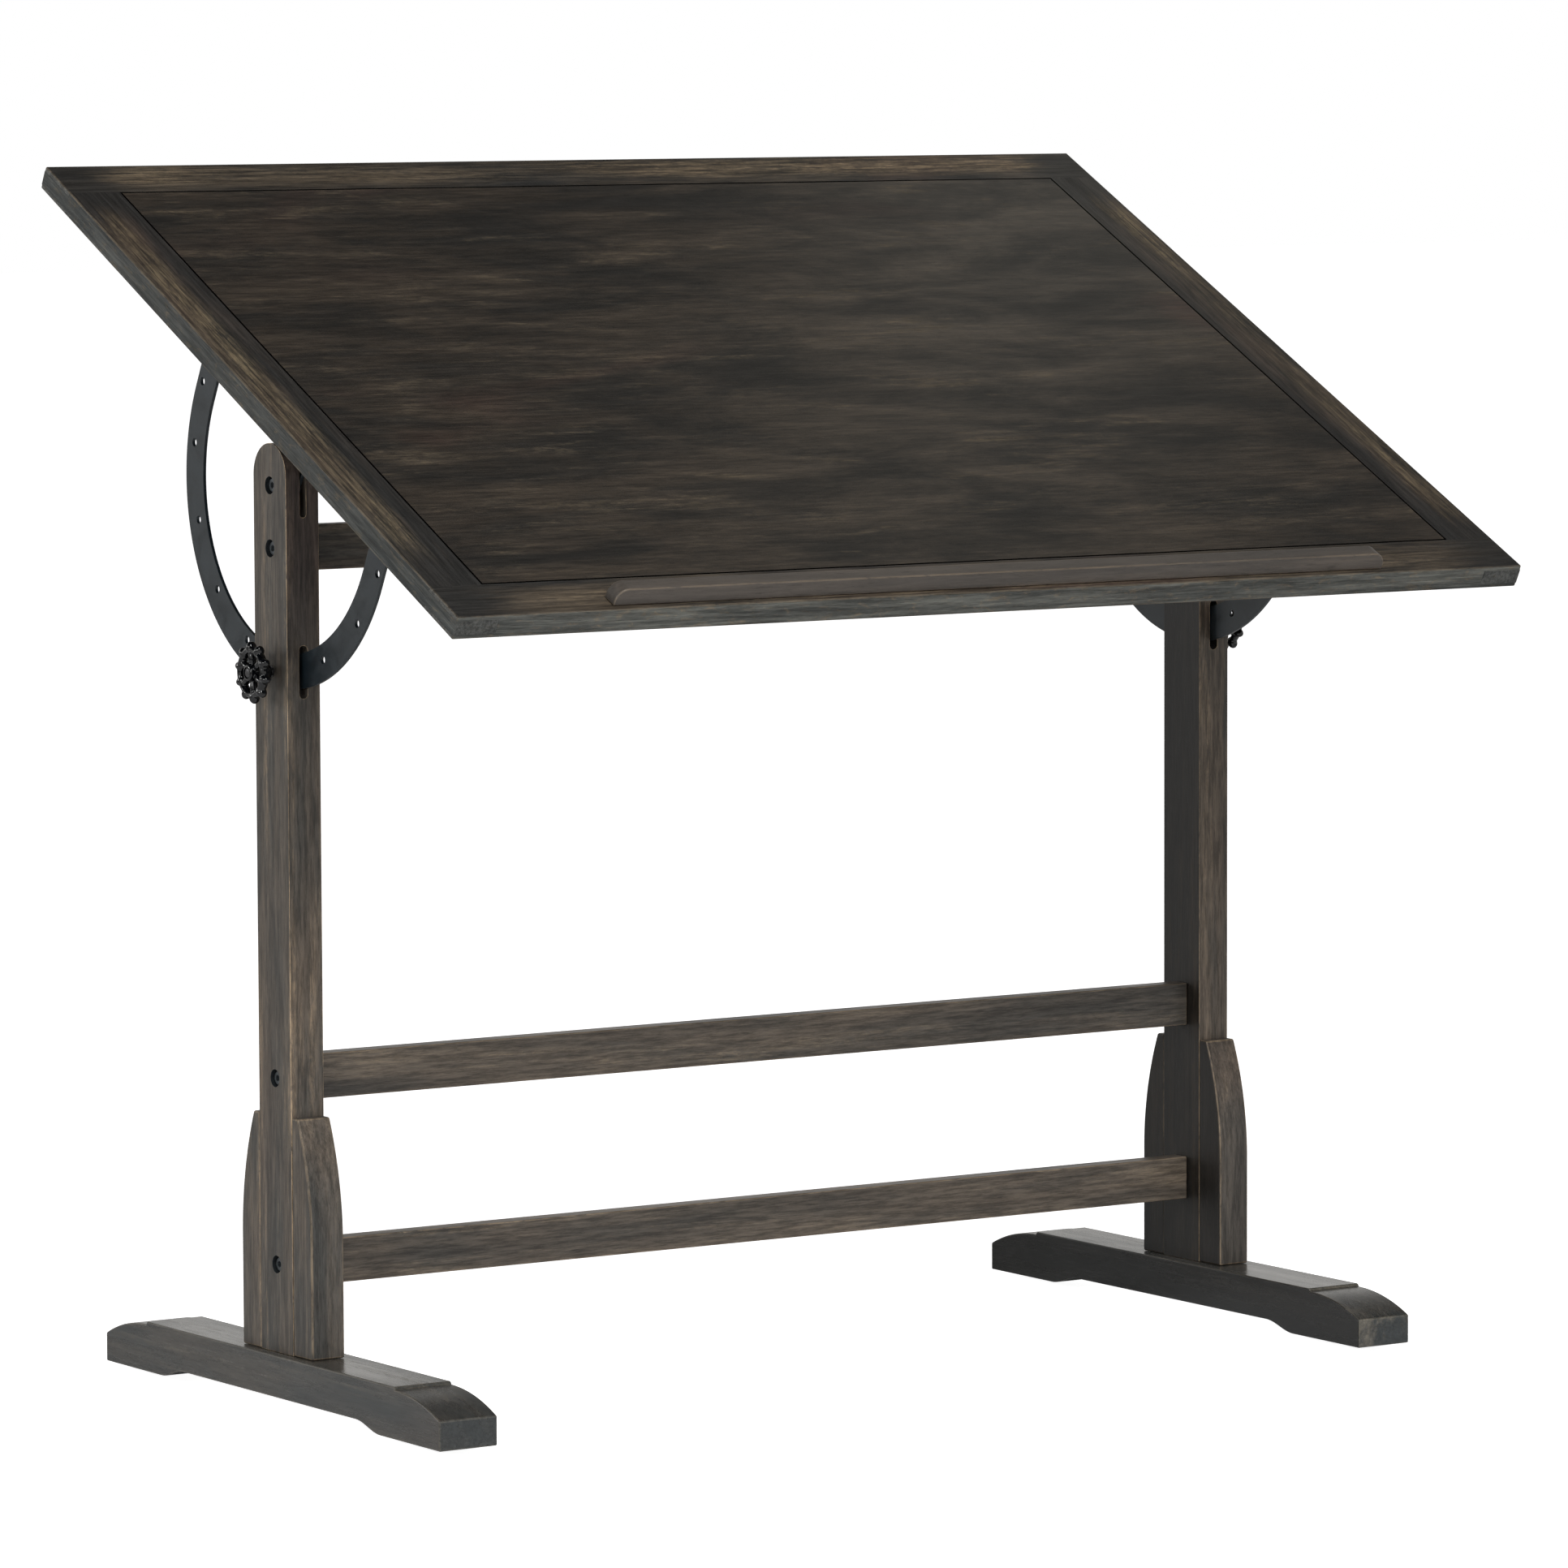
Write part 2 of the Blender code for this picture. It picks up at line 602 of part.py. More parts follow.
def make_mounting_bar(side):
    outer = PLATE[0] - GAP
    x = at(side, outer - BAR_T, outer)
    shape = box(x, (-BAR_HALF, BAR_HALF), (BAND_N[0] + 0.004, BOARD_UNDER - GAP))
    bar = node(f"mounting_bar_{side}", shape, BOARD, FRAME_WOOD, 0.0010)
    ends = at(side, outer + 0.001, outer - 0.0165)
    spots = [(sign * BAR_SCREW_U, BAR_SCREW_N) for sign in ENDS.values()]
    holes = [bore("X", spot, *ends, 0.0024, HIDDEN_STEPS) for spot in spots]
    boolean(bar, "screw_holes", combined(*holes))


def make_bar_screw(side, end):
    face = PLATE[1] + GAP
    places = [PLATE[0] - 0.0160, face, face, face + 0.0012, face + 0.0022]
    radii = [0.0020, 0.0020, 0.0040, 0.0038, 0.0022]
    centre = (ENDS[end] * BAR_SCREW_U, BAR_SCREW_N)
    shape = turned("X", centre, list(zip(at(side, *places), radii)), HIDDEN_STEPS)
    node(f"bar_screw_{side}_{end}", shape, BOARD, BOLT_STEEL, smooth=True)


def inner_edges():
    """The U coordinates of the two rails' inner edges."""
    return BOARD_U0 + RAIL_W, BOARD_U0 + BOARD_D - RAIL_W


def make_rail(end):
    outer = BOARD_U0 if end == "front" else BOARD_U0 + BOARD_D
    inner = inner_edges()[0 if end == "front" else 1]
    u = sorted((outer, inner))
    top = BOARD_UNDER + BOARD_T
    shape = box((-BOARD_W / 2, BOARD_W / 2), u, (BOARD_UNDER, top))
    rail = node(f"rail_{end}", shape, BOARD, FRAME_WOOD, RAIL_EDGE)
    tenon_n = (top - TENON_DROP - TENON_T - GAP, top - TENON_DROP + GAP)
    past_u = (u[0] - 0.001, u[1] + 0.001)
    tenon_in = BOARD_W / 2 - TENON_W - GAP
    cuts = [box(at(side, tenon_in, BOARD_W / 2 + 0.001), past_u, tenon_n) for side in SIDES]
    groove_x = BOARD_W / 2 - RAIL_W + TONGUE + GAP
    deep = inner + ENDS[end] * (TONGUE + GAP)
    groove_u = sorted((deep, inner - ENDS[end] * 0.001))
    cuts.append(box((-groove_x, groove_x), groove_u, groove_n()))
    boolean(rail, "joints", combined(*cuts))
    if end == "front":
        profile = [(BOARD_UNDER - 0.001, 0.0044), (BOARD_UNDER + 0.003, 0.0044)]
        profile += [(BOARD_UNDER + 0.003, 0.0021), (top + 0.001, 0.0021)]
        spots = [(at(side, LEDGE_SCREW_X)[0], ledge_middle()) for side in SIDES]
        holes = [turned("Z", spot, profile, 14) for spot in spots]
        boolean(rail, "screw_holes", combined(*holes))


def groove_n():
    low = BOARD_UNDER + TONGUE_DROP
    return (low - GAP, low + TONGUE_T + GAP)


def ledge_middle():
    return BOARD_U0 + LEDGE_SETBACK + LEDGE_D / 2


def make_stile(side):
    low, high = inner_edges()
    top = BOARD_UNDER + BOARD_T
    inner = BOARD_W / 2 - RAIL_W
    shape = box(at(side, inner, BOARD_W / 2), (low + GAP, high - GAP), (BOARD_UNDER, top))
    stile = node(f"stile_{side}", shape, BOARD, FRAME_WOOD, RAIL_EDGE)
    tenon_x = at(side, BOARD_W / 2 - TENON_W, BOARD_W / 2 - 0.0001)
    tenon_u = (BOARD_U0 + 0.0001, BOARD_U0 + BOARD_D - 0.0001)
    tenon_n = (top - TENON_DROP - TENON_T, top - TENON_DROP)
    boolean(stile, "tenons", box(tenon_x, tenon_u, tenon_n), "UNION")
    groove_x = at(side, inner - 0.001, inner + TONGUE + GAP)
    boolean(stile, "groove", box(groove_x, (low - 0.001, high + 0.001), groove_n()))


def make_panel():
    low, high = inner_edges()
    half = BOARD_W / 2 - RAIL_W
    seam = 0.0004
    height = (BOARD_UNDER, BOARD_UNDER + BOARD_T)
    shape = box((-half + seam, half - seam), (low + seam, high - seam), height)
    panel = node("panel", shape, BOARD, PANEL_WOOD, 0.0008)
    tongue_n = (BOARD_UNDER + TONGUE_DROP, BOARD_UNDER + TONGUE_DROP + TONGUE_T)
    tongue = box((-half - TONGUE, half + TONGUE), (low - TONGUE, high + TONGUE), tongue_n)
    boolean(panel, "tongue", tongue, "UNION")


def make_ledge():
    top = BOARD_UNDER + BOARD_T
    low, high, half = top + GAP, top + LEDGE_H, LEDGE_L / 2
    outline = [(-half, low), (half, low)]
    outline += arc((half - LEDGE_ROUND, high - LEDGE_ROUND), LEDGE_ROUND, 0, 90, 8)
    outline += arc((-half + LEDGE_ROUND, high - LEDGE_ROUND), LEDGE_ROUND, 90, 180, 8)
    place = Matrix.Translation((0, ledge_middle(), 0)) @ Matrix.Rotation(math.pi / 2, 4, "X")
    ledge = node("ledge", sheet([outline], LEDGE_D, place), BOARD, FRAME_WOOD, LEDGE_EDGE)
    spots = [(at(side, LEDGE_SCREW_X)[0], ledge_middle()) for side in SIDES]
    holes = [bore("Z", spot, low - 0.001, top + 0.011, 0.0021, 14) for spot in spots]
    boolean(ledge, "screw_holes", combined(*holes))


def make_ledge_screw(side):
    centre = (at(side, LEDGE_SCREW_X)[0], ledge_middle())
    low = BOARD_UNDER + 0.0004
    tip = BOARD_UNDER + BOARD_T + 0.0105
    profile = [(low, 0.0034), (low + 0.0004, 0.0040), (low + 0.0022, 0.0040)]
    profile += [(low + 0.0022, 0.0018), (tip - 0.0015, 0.0018), (tip, 0.0006)]
    node(f"ledge_screw_{side}", turned("Z", centre, profile, 14), BOARD, ZINC_STEEL, smooth=True)


def make_side(side):
    make_post(side)
    make_foot(side)
    for end in ENDS:
        make_cheek(side, end)
        make_foot_screw(side, end)
        make_leveller(side, end)
        make_bar_screw(side, end)
    for level in LEVELS:
        make_stretcher_bolt(side, level)
        make_barrel_nut(side, level)
    make_bolt(f"pivot_bolt_{side}", side, PIVOT_Z, PIVOT_R, POST_IN - NUT_H - 0.0020)
    make_pivot_nut(side)
    make_clamp_insert(side)
    make_clamp_pad(side)
    make_clamp_screw(side)
    make_knob(side)
    make_quadrant(side)
    make_mounting_bar(side)
    make_stile(side)
    make_ledge_screw(side)


for side_name in SIDES:
    make_side(side_name)
for level_name in LEVELS:
    make_stretcher(level_name)
for end_name in ENDS:
    make_rail(end_name)
make_panel()
make_ledge()
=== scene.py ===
"""Looks of the drafting table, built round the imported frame.

Metres, +Z up, the front faces -Y. Every wooden piece is built in a frame of its own: A runs along
its grain, B across it and C through its thickness, so that one wood material suits them all.
"""

import json
import math

import bmesh
import bpy
from mathutils import Matrix, Vector


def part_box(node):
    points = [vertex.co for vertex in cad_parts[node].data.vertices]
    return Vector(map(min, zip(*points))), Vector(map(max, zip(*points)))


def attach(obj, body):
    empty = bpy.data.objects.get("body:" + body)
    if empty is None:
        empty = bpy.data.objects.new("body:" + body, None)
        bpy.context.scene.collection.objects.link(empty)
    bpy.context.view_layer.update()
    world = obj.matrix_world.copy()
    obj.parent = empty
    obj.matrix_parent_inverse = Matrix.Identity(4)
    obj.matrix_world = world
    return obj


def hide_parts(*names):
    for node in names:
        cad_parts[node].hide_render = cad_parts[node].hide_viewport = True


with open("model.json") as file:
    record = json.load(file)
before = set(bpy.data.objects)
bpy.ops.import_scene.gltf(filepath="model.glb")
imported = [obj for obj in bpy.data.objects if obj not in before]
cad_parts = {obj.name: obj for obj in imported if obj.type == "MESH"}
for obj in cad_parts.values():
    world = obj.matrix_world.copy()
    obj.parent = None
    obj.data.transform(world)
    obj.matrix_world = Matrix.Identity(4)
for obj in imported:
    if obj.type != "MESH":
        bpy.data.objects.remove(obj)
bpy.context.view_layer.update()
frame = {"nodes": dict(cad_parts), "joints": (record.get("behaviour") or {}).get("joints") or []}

SIDES = {"left": -1, "right": 1}
ENDS = {"front": -1, "back": 1}
LEVELS = ("upper", "middle", "lower")
MM = 0.001
CRISP = math.radians(38)  # edges sharper than this are rounded, and stay sharp in the shading

JOINTS = {joint["name"]: joint for joint in frame["joints"]}


def joint_origin(name):
    return Vector(JOINTS[name]["pos_m"])


# ---------------------------------------------------------------- frames


def columns(a, b, c, origin=(0, 0, 0)):
    """The matrix whose local axes are these three directions."""
    matrix = Matrix((a, b, c)).transposed().to_4x4()
    return Matrix.Translation(origin) @ matrix


PIVOT = joint_origin("board_tilt")
TILT = math.radians(-JOINTS["board_tilt"]["range_deg"][0])
BOARD = Matrix.Translation(PIVOT) @ Matrix.Rotation(TILT, 4, "X")
GRAIN_X = columns((1, 0, 0), (0, 0, 1), (0, -1, 0))
GRAIN_Y = columns((0, 1, 0), (0, 0, 1), (1, 0, 0))
GRAIN_Z = columns((0, 0, 1), (0, 1, 0), (-1, 0, 0))
STRAP_FRAME = BOARD @ GRAIN_Y
SPAN_B = columns((1, 0, 0), (0, 0, 1), (0, -1, 0))  # lays a prism's thickness along B


def outward(side, y, z):
    """A frame whose third axis points away from the middle of the table."""
    s = SIDES[side]
    return columns((0, 0, 1), (0, -s, 0), (s, 0, 0), (0, y, z))


def pointing_b(origin=(0, 0, 0)):
    """A frame whose third axis is the second axis of the frame it is in."""
    return columns((1, 0, 0), (0, 0, -1), (0, 1, 0), origin)


def board_frame(turn):
    """The board's frame turned about its normal, so that A follows the grain and B points inwards."""
    return BOARD @ Matrix.Rotation(math.radians(turn), 4, "Z")


def extent(name, place):
    """(lowest, highest) corner of a CAD node in this frame."""
    back = place.inverted()
    points = [back @ vert.co for vert in frame["nodes"][name].data.vertices]
    low, high = (Vector([pick(p[i] for p in points) for i in range(3)]) for pick in (min, max))
    return low, high


def centred(name, place):
    """This frame moved to the middle of a CAD node, and half the node's size along its axes."""
    low, high = extent(name, place)
    middle = (low + high) / 2
    return place @ Matrix.Translation(middle), (high - low) / 2


def middle_of(name):
    low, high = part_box(name)
    return (low + high) / 2


# ---------------------------------------------------------------- materials


class Graph:
    """Short calls that build the nodes of one material."""

    def __init__(self, name):
        self.material = bpy.data.materials.new(name)
        self.material.use_nodes = True
        self.tree = self.material.node_tree
        self.shader = self.tree.nodes["Principled BSDF"]

    def put(self, socket, value):
        if isinstance(value, bpy.types.NodeSocket):
            self.tree.links.new(value, socket)
        elif socket.type == "RGBA":
            socket.default_value = (*value[:3], 1)
        else:
            socket.default_value = value

    def node(self, kind, inputs, output=0, **settings):
        made = self.tree.nodes.new("ShaderNode" + kind)
        for key, value in settings.items():
            setattr(made, key, value)
        for key, value in inputs.items():
            self.put(made.inputs[key], value)
        return made.outputs[output]

    def position(self, output="Object"):
        return self.node("TexCoord", {}, output)

    def times(self, vector, scale):
        return self.node("VectorMath", {0: vector, 1: scale}, operation="MULTIPLY")

    def plus(self, vector, other):
        return self.node("VectorMath", {0: vector, 1: other}, operation="ADD")

    def axes(self, vector):
        parts = self.tree.nodes.new("ShaderNodeSeparateXYZ")
        self.put(parts.inputs[0], vector)
        return parts.outputs[0], parts.outputs[1], parts.outputs[2]

    def number(self, name):
        """A custom property of the object that wears the material."""
        return self.node("Attribute", {}, "Fac", attribute_type="OBJECT", attribute_name=name)

    def noise(self, vector, scale=1.0, detail=3.0, rough=0.5, twist=0.0):
        inputs = {"Vector": vector, "Scale": scale, "Detail": detail, "Roughness": rough}
        return self.node("TexNoise", {**inputs, "Distortion": twist}, "Fac")

    def sum(self, a, b):
        return self.node("Math", {0: a, 1: b}, operation="ADD")

    def product(self, a, b):
        return self.node("Math", {0: a, 1: b}, operation="MULTIPLY")

    def size(self, a):
        return self.node("Math", {0: a}, operation="ABSOLUTE")

    def step(self, value, low, high, start=0.0, end=1.0):
        """Runs smoothly from start to end as the value passes from low to high."""
        inputs = {"Value": value, "From Min": low, "From Max": high, "To Min": start, "To Max": end}
        return self.node("MapRange", inputs, interpolation_type="SMOOTHSTEP")

    def jitter(self, noise, reach):
        """This noise as an offset either way, of about half this reach."""
        return self.product(self.sum(noise, -0.5), reach)

    def mix(self, share, a, b, blend="MIX"):
        made = self.tree.nodes.new("ShaderNodeMix")
        made.data_type = "RGBA"
        made.blend_type = blend
        for socket, value in ((0, share), (6, a), (7, b)):
            self.put(made.inputs[socket], value)
        return made.outputs[2]

    def darkened(self, colour, shade):
        """The colour times a number."""
        return self.mix(1.0, colour, self.node("CombineColor", {i: shade for i in range(3)}), "MULTIPLY")

    def bump(self, height, depth, before=None):
        inputs = {"Height": height, "Distance": depth, "Strength": 1.0}
        if before is not None:
            inputs["Normal"] = before
        return self.node("Bump", inputs)

    def finish(self, **inputs):
        for key, value in inputs.items():
            self.put(self.shader.inputs[key.replace("_", " ")], value)
        return self.material


class Wood(Graph):
    """Stained wood: dark stain, brown where it is thin, tan where it is rubbed through.

    Every noise runs from about 0.3 to 0.7, so that is where the steps lie.
    """

    def __init__(self, name, tones, style):
        super().__init__(name)
        self.tones, self.style = tones, style
        seed = self.number("seed")
        local = self.position()
        spread = {axis: self.product(seed, share) for axis, share in enumerate((3.1, 5.3, 7.7))}
        p = self.plus(local, self.node("CombineXYZ", spread))
        self.a, self.b, _ = self.axes(local)
        self.facing_a, self.facing_b, self.facing_c = self.axes(self.position("Normal"))

        self.blotch = self.noise(self.times(p, style["blotch"]), 1, 7, 0.66, 0.4)
        self.cloud = self.noise(self.times(p, (2.2, 5.0, 5.0)), 1, 3, 0.55, 0.5)
        self.streak = self.noise(self.times(p, style["streak"]), 1, 8, 0.74, 0.25)
        self.fibre = self.noise(self.times(p, style["fibres"]), 1, 5, 0.8, 0.1)
        self.pores = self.step(self.noise(self.times(p, (50, 1100, 1100)), 1, 3, 0.6), 0.58, 0.70)
        self.scuff = self.noise(self.times(p, (70, 170, 170)), 1, 5, 0.7, 0.8)

    def stained(self):
        """Blotches of dark stain and brown, with redder clouds."""
        colour = self.mix(self.step(self.blotch, 0.36, 0.64), self.tones["dark"], self.tones["brown"])
        return self.mix(self.step(self.cloud, 0.56, 0.72, 0, 0.75), colour, self.tones["red"])

    def rubbed(self):
        """How far the stain is rubbed through."""
        return self.product(self.step(self.streak, *self.style["rub"]), self.step(self.scuff, 0.34, 0.62))

    def banded(self, colour, rub):
        """Wear that runs down the middle of a rail or stile in scratches, and stops short of its ends."""
        middle, spread = self.style["band"]
        dark = self.tones["dark"]
        across = self.size(self.sum(self.b, -middle))
        across = self.sum(across, self.jitter(self.streak, 0.020))
        inside = self.step(across, spread * 0.2, spread, 1, 0)
        scratch = self.product(self.step(self.fibre, 0.36, 0.62, 0.12, 1),
                               self.step(self.scuff, 0.34, 0.60, 0.35, 1))
        rub = self.product(self.sum(self.product(rub, 0.25), self.product(scratch, 0.9)), inside)
        rub = self.product(rub, self.step(self.cloud, 0.36, 0.56, 0.15, 1))
        to_end = self.sum(self.size(self.a), self.product(self.number("reach"), -1))
        corner = self.step(self.sum(to_end, self.jitter(self.streak, 0.12)), -0.085, -0.020)
        rub = self.product(rub, self.step(corner, 0, 1, 1, 0))
        colour = self.mix(self.product(corner, 0.85), colour, dark)
        colour = self.mix(self.step(across, spread * 0.9, spread * 1.6, 0, 0.8), colour, dark)
        return colour, rub

    def cooled(self, colour):
        """The greyer stain on the narrow sides of a rail or stile, with painted light on the rails' edges.
        """
        sides = self.step(self.size(self.facing_c), *self.style["cool_when"])
        cool = self.mix(self.step(self.streak, 0.34, 0.66), self.tones["cool"], self.tones["cool_light"])
        cool = self.mix(self.product(self.step(self.scuff, 0.52, 0.70), 0.5), cool, self.tones["tan"])
        return self.mix(self.product(sides, self.style["cool_share"]), colour, cool)

    def under_board(self, colour):
        """Painted shade of the board: the front of a post, above the height that its object names, darker
        and redder.
        """
        height = self.sum(self.a, self.product(self.number("shaded_from"), -1))
        above = self.product(self.step(height, -0.02, 0.14), self.step(self.facing_b, -0.7, -0.5, 1, 0))
        return self.mix(self.product(above, 0.75), colour, self.tones["shaded"])

    def edged(self, colour):
        """Darker toward the rim that the object names, painted shade of the board on a post's front, end
        grain on the ends, and paler patches on the ends as far as the object names.
        """
        rim = self.product(self.b, self.number("rim"))
        rim = self.sum(rim, self.jitter(self.blotch, 0.9))
        colour = self.mix(self.step(rim, 0.3, 1.0, 0, 0.55), colour, self.tones["end"])
        if "shaded" in self.tones:
            colour = self.under_board(colour)
        ends = self.step(self.size(self.facing_a), 0.6, 0.8, 0, self.style["end_share"])
        paler_patch = self.product(self.number("paler_end"), self.step(self.blotch, 0.40, 0.60))
        return self.mix(ends, colour, self.mix(paler_patch, self.tones["end"], self.tones["bare"]))

    def shade(self):
        """Light and dark along the fibres, and painted shade on the faces that look toward the middle of
        the table and on the sides of the seam, as a factor.
        """
        fibre, tone = self.style["fibre"], self.style["tone"]
        shade = self.step(self.fibre, 0.34, 0.66, 1 - fibre, 1 + fibre)
        shade = self.product(shade, self.step(self.streak, 0.34, 0.66, 1 - tone, 1 + tone))
        shade = self.product(shade, self.step(self.pores, 0, 1, 1, 0.62))
        # painted shade on the faces that look toward the middle of the table
        inward = self.product(self.facing_c, self.number("inward"))
        shade = self.product(shade, self.step(inward, 0.5, 0.9, 1, self.style.get("inner_shade", 1)))
        # painted shade on the sides of rails and stiles that face the seam round the panel
        if "groove" in self.style:
            shade = self.product(shade, self.step(self.facing_b, 0.5, 0.8, 1, self.style["groove"]))
        return shade

    def bared(self, colour):
        """Arrises worn bare in places."""
        bare = self.product(self.step(self.scuff, 0.30, 0.52), self.step(self.cloud, 0.38, 0.54, 0.55, 1))
        return self.mix(self.product(bare, self.style["worn"]), colour, self.tones["bare"])

    def complete(self):
        colour, rub = self.stained(), self.rubbed()
        if "band" in self.style:
            colour, rub = self.banded(colour, rub)
        colour = self.mix(self.product(rub, self.style["rub_share"]), colour, self.tones["tan"])
        if "cool" in self.tones:
            colour = self.cooled(colour)
        colour = self.edged(colour)
        shade = self.shade()
        if self.style.get("worn"):
            colour = self.bared(colour)
        plain = self.style["rough"]
        rough = self.step(self.blotch, 0.3, 0.7, plain + 0.05, plain - 0.04)
        rough = self.sum(rough, self.product(rub, 0.12))
        rough = self.sum(rough, self.jitter(self.fibre, 0.10))
        relief = self.bump(self.sum(self.fibre, self.product(self.pores, -0.8)), 0.05 * MM)
        relief = self.bump(self.blotch, 0.4 * MM, relief)
        return self.finish(Base_Color=self.darkened(colour, shade), Roughness=rough, Normal=relief,
                           IOR=1.45, Specular_IOR_Level=self.style["specular"])


def timber_pair(name, tones, style, worn=0.85):
    """A wood for the faces, and the same wood worn bare in places for the arrises."""
    arris = Wood(name + "_arris", tones, {**style, "worn": worn})
    return Wood(name, tones, style).complete(), arris.complete()


def stain(name, shade):
    """Painted shade: a dull dark colour for grooves and bores."""
    return Graph(name).finish(Base_Color=shade, Roughness=0.95, Specular_IOR_Level=0.0)


def metal(name, colour, metallic, rough, grain, depth, smudge=0.08, specular=0.5):
    """Painted, cast or plated metal with a fine texture and uneven gloss."""
    g = Graph(name)
    p = g.position()
    fine = g.noise(p, grain, 3, 0.6)
    broad = g.noise(p, 45, 3, 0.6, 0.4)
    tint = g.step(broad, 0.3, 0.7, 0.82, 1.2)
    gloss = g.step(broad, 0.3, 0.7, rough - smudge, rough + smudge)
    return g.finish(Base_Color=g.darkened(colour, tint), Metallic=metallic, Roughness=gloss,
                    Specular_IOR_Level=specular, Normal=g.bump(fine, depth))


PANEL_TONES = {
    "dark": (0.0125, 0.0112, 0.0098), "brown": (0.033, 0.0255, 0.0190), "red": (0.037, 0.0230, 0.0180),
    "tan": (0.096, 0.075, 0.049), "end": (0.006, 0.006, 0.006), "bare": (0.002, 0.002, 0.002),
}
FRAME_TONES = {
    "dark": (0.0195, 0.0190, 0.0182), "brown": (0.050, 0.0385, 0.0305), "red": (0.050, 0.034, 0.028),
    "tan": (0.132, 0.102, 0.062), "end": (0.066, 0.067, 0.064), "bare": (0.100, 0.082, 0.060),
    "cool": (0.028, 0.032, 0.033), "cool_light": (0.062, 0.065, 0.061),
}
# The rails' cool tones are lighter than the stiles': painted light on the board's front edge, which faces
# down and forward, and painted shade on its left and right edges.
RAIL_TONES = {
    **FRAME_TONES, "brown": (0.060, 0.048, 0.036), "tan": (0.190, 0.142, 0.090),
    "cool": (0.052, 0.056, 0.054), "cool_light": (0.104, 0.106, 0.096),
}
STAND_TONES = {
    "dark": (0.042, 0.040, 0.036), "brown": (0.086, 0.068, 0.052), "red": (0.070, 0.054, 0.042),
    "tan": (0.180, 0.132, 0.086), "end": (0.040, 0.040, 0.038), "bare": (0.480, 0.350, 0.215),
}
# shaded: painted shade of the board on the upper fronts of the posts, a dark red-brown
POST_TONES = {**STAND_TONES, "shaded": (0.040, 0.028, 0.024)}
LEDGE_TONES = {**STAND_TONES, "dark": (0.056, 0.050, 0.045), "brown": (0.074, 0.063, 0.054)}
STRETCHER_TONES = {
    "dark": (0.043, 0.039, 0.034), "brown": (0.093, 0.075, 0.058), "red": (0.079, 0.062, 0.048),
    "tan": (0.168, 0.130, 0.089), "end": (0.046, 0.042, 0.036), "bare": (0.270, 0.205, 0.140),
}
FOOT_TONES = {
    "dark": (0.024, 0.028, 0.029), "brown": (0.048, 0.044, 0.038), "red": (0.042, 0.036, 0.031),
    "tan": (0.120, 0.102, 0.078), "end": (0.032, 0.037, 0.039), "bare": (0.190, 0.170, 0.135),
}
PANEL_STYLE = {
    "blotch": (5, 17, 17), "streak": (7, 42, 42), "fibres": (20, 300, 300), "fibre": 0.42, "tone": 0.26,
    "rub": (0.53, 0.70), "rub_share": 0.50, "rough": 0.44, "specular": 0.28, "end_share": 1.0,
}
FRAME_STYLE = {
    "blotch": (5, 26, 26), "streak": (5, 90, 90), "fibres": (16, 330, 330), "fibre": 0.40, "tone": 0.20,
    "rub": (0.48, 0.64), "rub_share": 0.80, "rough": 0.46, "specular": 0.13, "end_share": 0.7,
    # groove: painted shade on the sides that face the seam round the panel
    "cool_when": (0.85, 0.5), "cool_share": 0.9, "band": (-0.009, 0.019), "groove": 0.05,
}
STAND_STYLE = {
    "blotch": (2.6, 26, 26), "streak": (2.5, 60, 60), "fibres": (24, 300, 300), "fibre": 0.46, "tone": 0.20,
    "rub": (0.50, 0.66), "rub_share": 0.45, "rough": 0.42, "specular": 0.4, "end_share": 0.8,
    # inner_shade: painted shade on the faces that look toward the middle of the table
    "inner_shade": 0.12,
}
RAIL_STYLE = {**FRAME_STYLE, "band": (-0.004, 0.024)}
POST_STYLE = {**STAND_STYLE, "rub_share": 0.65}
CHEEK_STYLE = {**STAND_STYLE, "rub_share": 0.32}
FOOT_STYLE = {**STAND_STYLE, "rough": 0.26, "specular": 0.5, "tone": 0.10, "fibre": 0.26, "rub_share": 0.3}
LEDGE_STYLE = {
    **STAND_STYLE, "rub_share": 0.12, "fibre": 0.14, "tone": 0.06, "specular": 0.35, "end_share": 0.3,
}

# Painted shade inside the bores round the bolt heads, and in the seam round the panel.
BORE_SHADE = stain("bore_stain", (0.018, 0.021, 0.023))
GROOVE_SHADE = stain("groove_stain", (0.0012, 0.0012, 0.0012))
PANEL_WOOD = Wood("panel_wood", PANEL_TONES, PANEL_STYLE).complete(), GROOVE_SHADE
FRAME_WOOD = timber_pair("frame_wood", FRAME_TONES, FRAME_STYLE, 0.75)
RAIL_WOOD = timber_pair("rail_wood", RAIL_TONES, RAIL_STYLE, 0.75)
LEDGE_WOOD = timber_pair("ledge_wood", LEDGE_TONES, LEDGE_STYLE, 0.12)
POST_WOOD = (*timber_pair("stand_wood", POST_TONES, POST_STYLE), BORE_SHADE)
CHEEK_WOOD = timber_pair("cheek_wood", STAND_TONES, CHEEK_STYLE, 0.22)
FOOT_WOOD = timber_pair("foot_wood", FOOT_TONES, FOOT_STYLE, 0.22)
STRETCHER_WOOD = timber_pair("stretcher_wood", STRETCHER_TONES, STAND_STYLE, 0.4)
STRAP_STEEL = metal("strap_steel", (0.0075, 0.0125, 0.0165), 0.0, 0.38, 2600, 0.02 * MM, specular=0.45)
KNOB_IRON = metal("knob_iron", (0.0010, 0.0014, 0.0022), 0.0, 0.08, 160, 0.01 * MM, smudge=0.02)
BOLT_STEEL = metal("bolt_steel", (0.052, 0.060, 0.065), 0.3, 0.34, 2000, 0.02 * MM)
ZINC_STEEL = metal("zinc_steel", (0.48, 0.48, 0.47), 1.0, 0.34, 1500, 0.02 * MM)
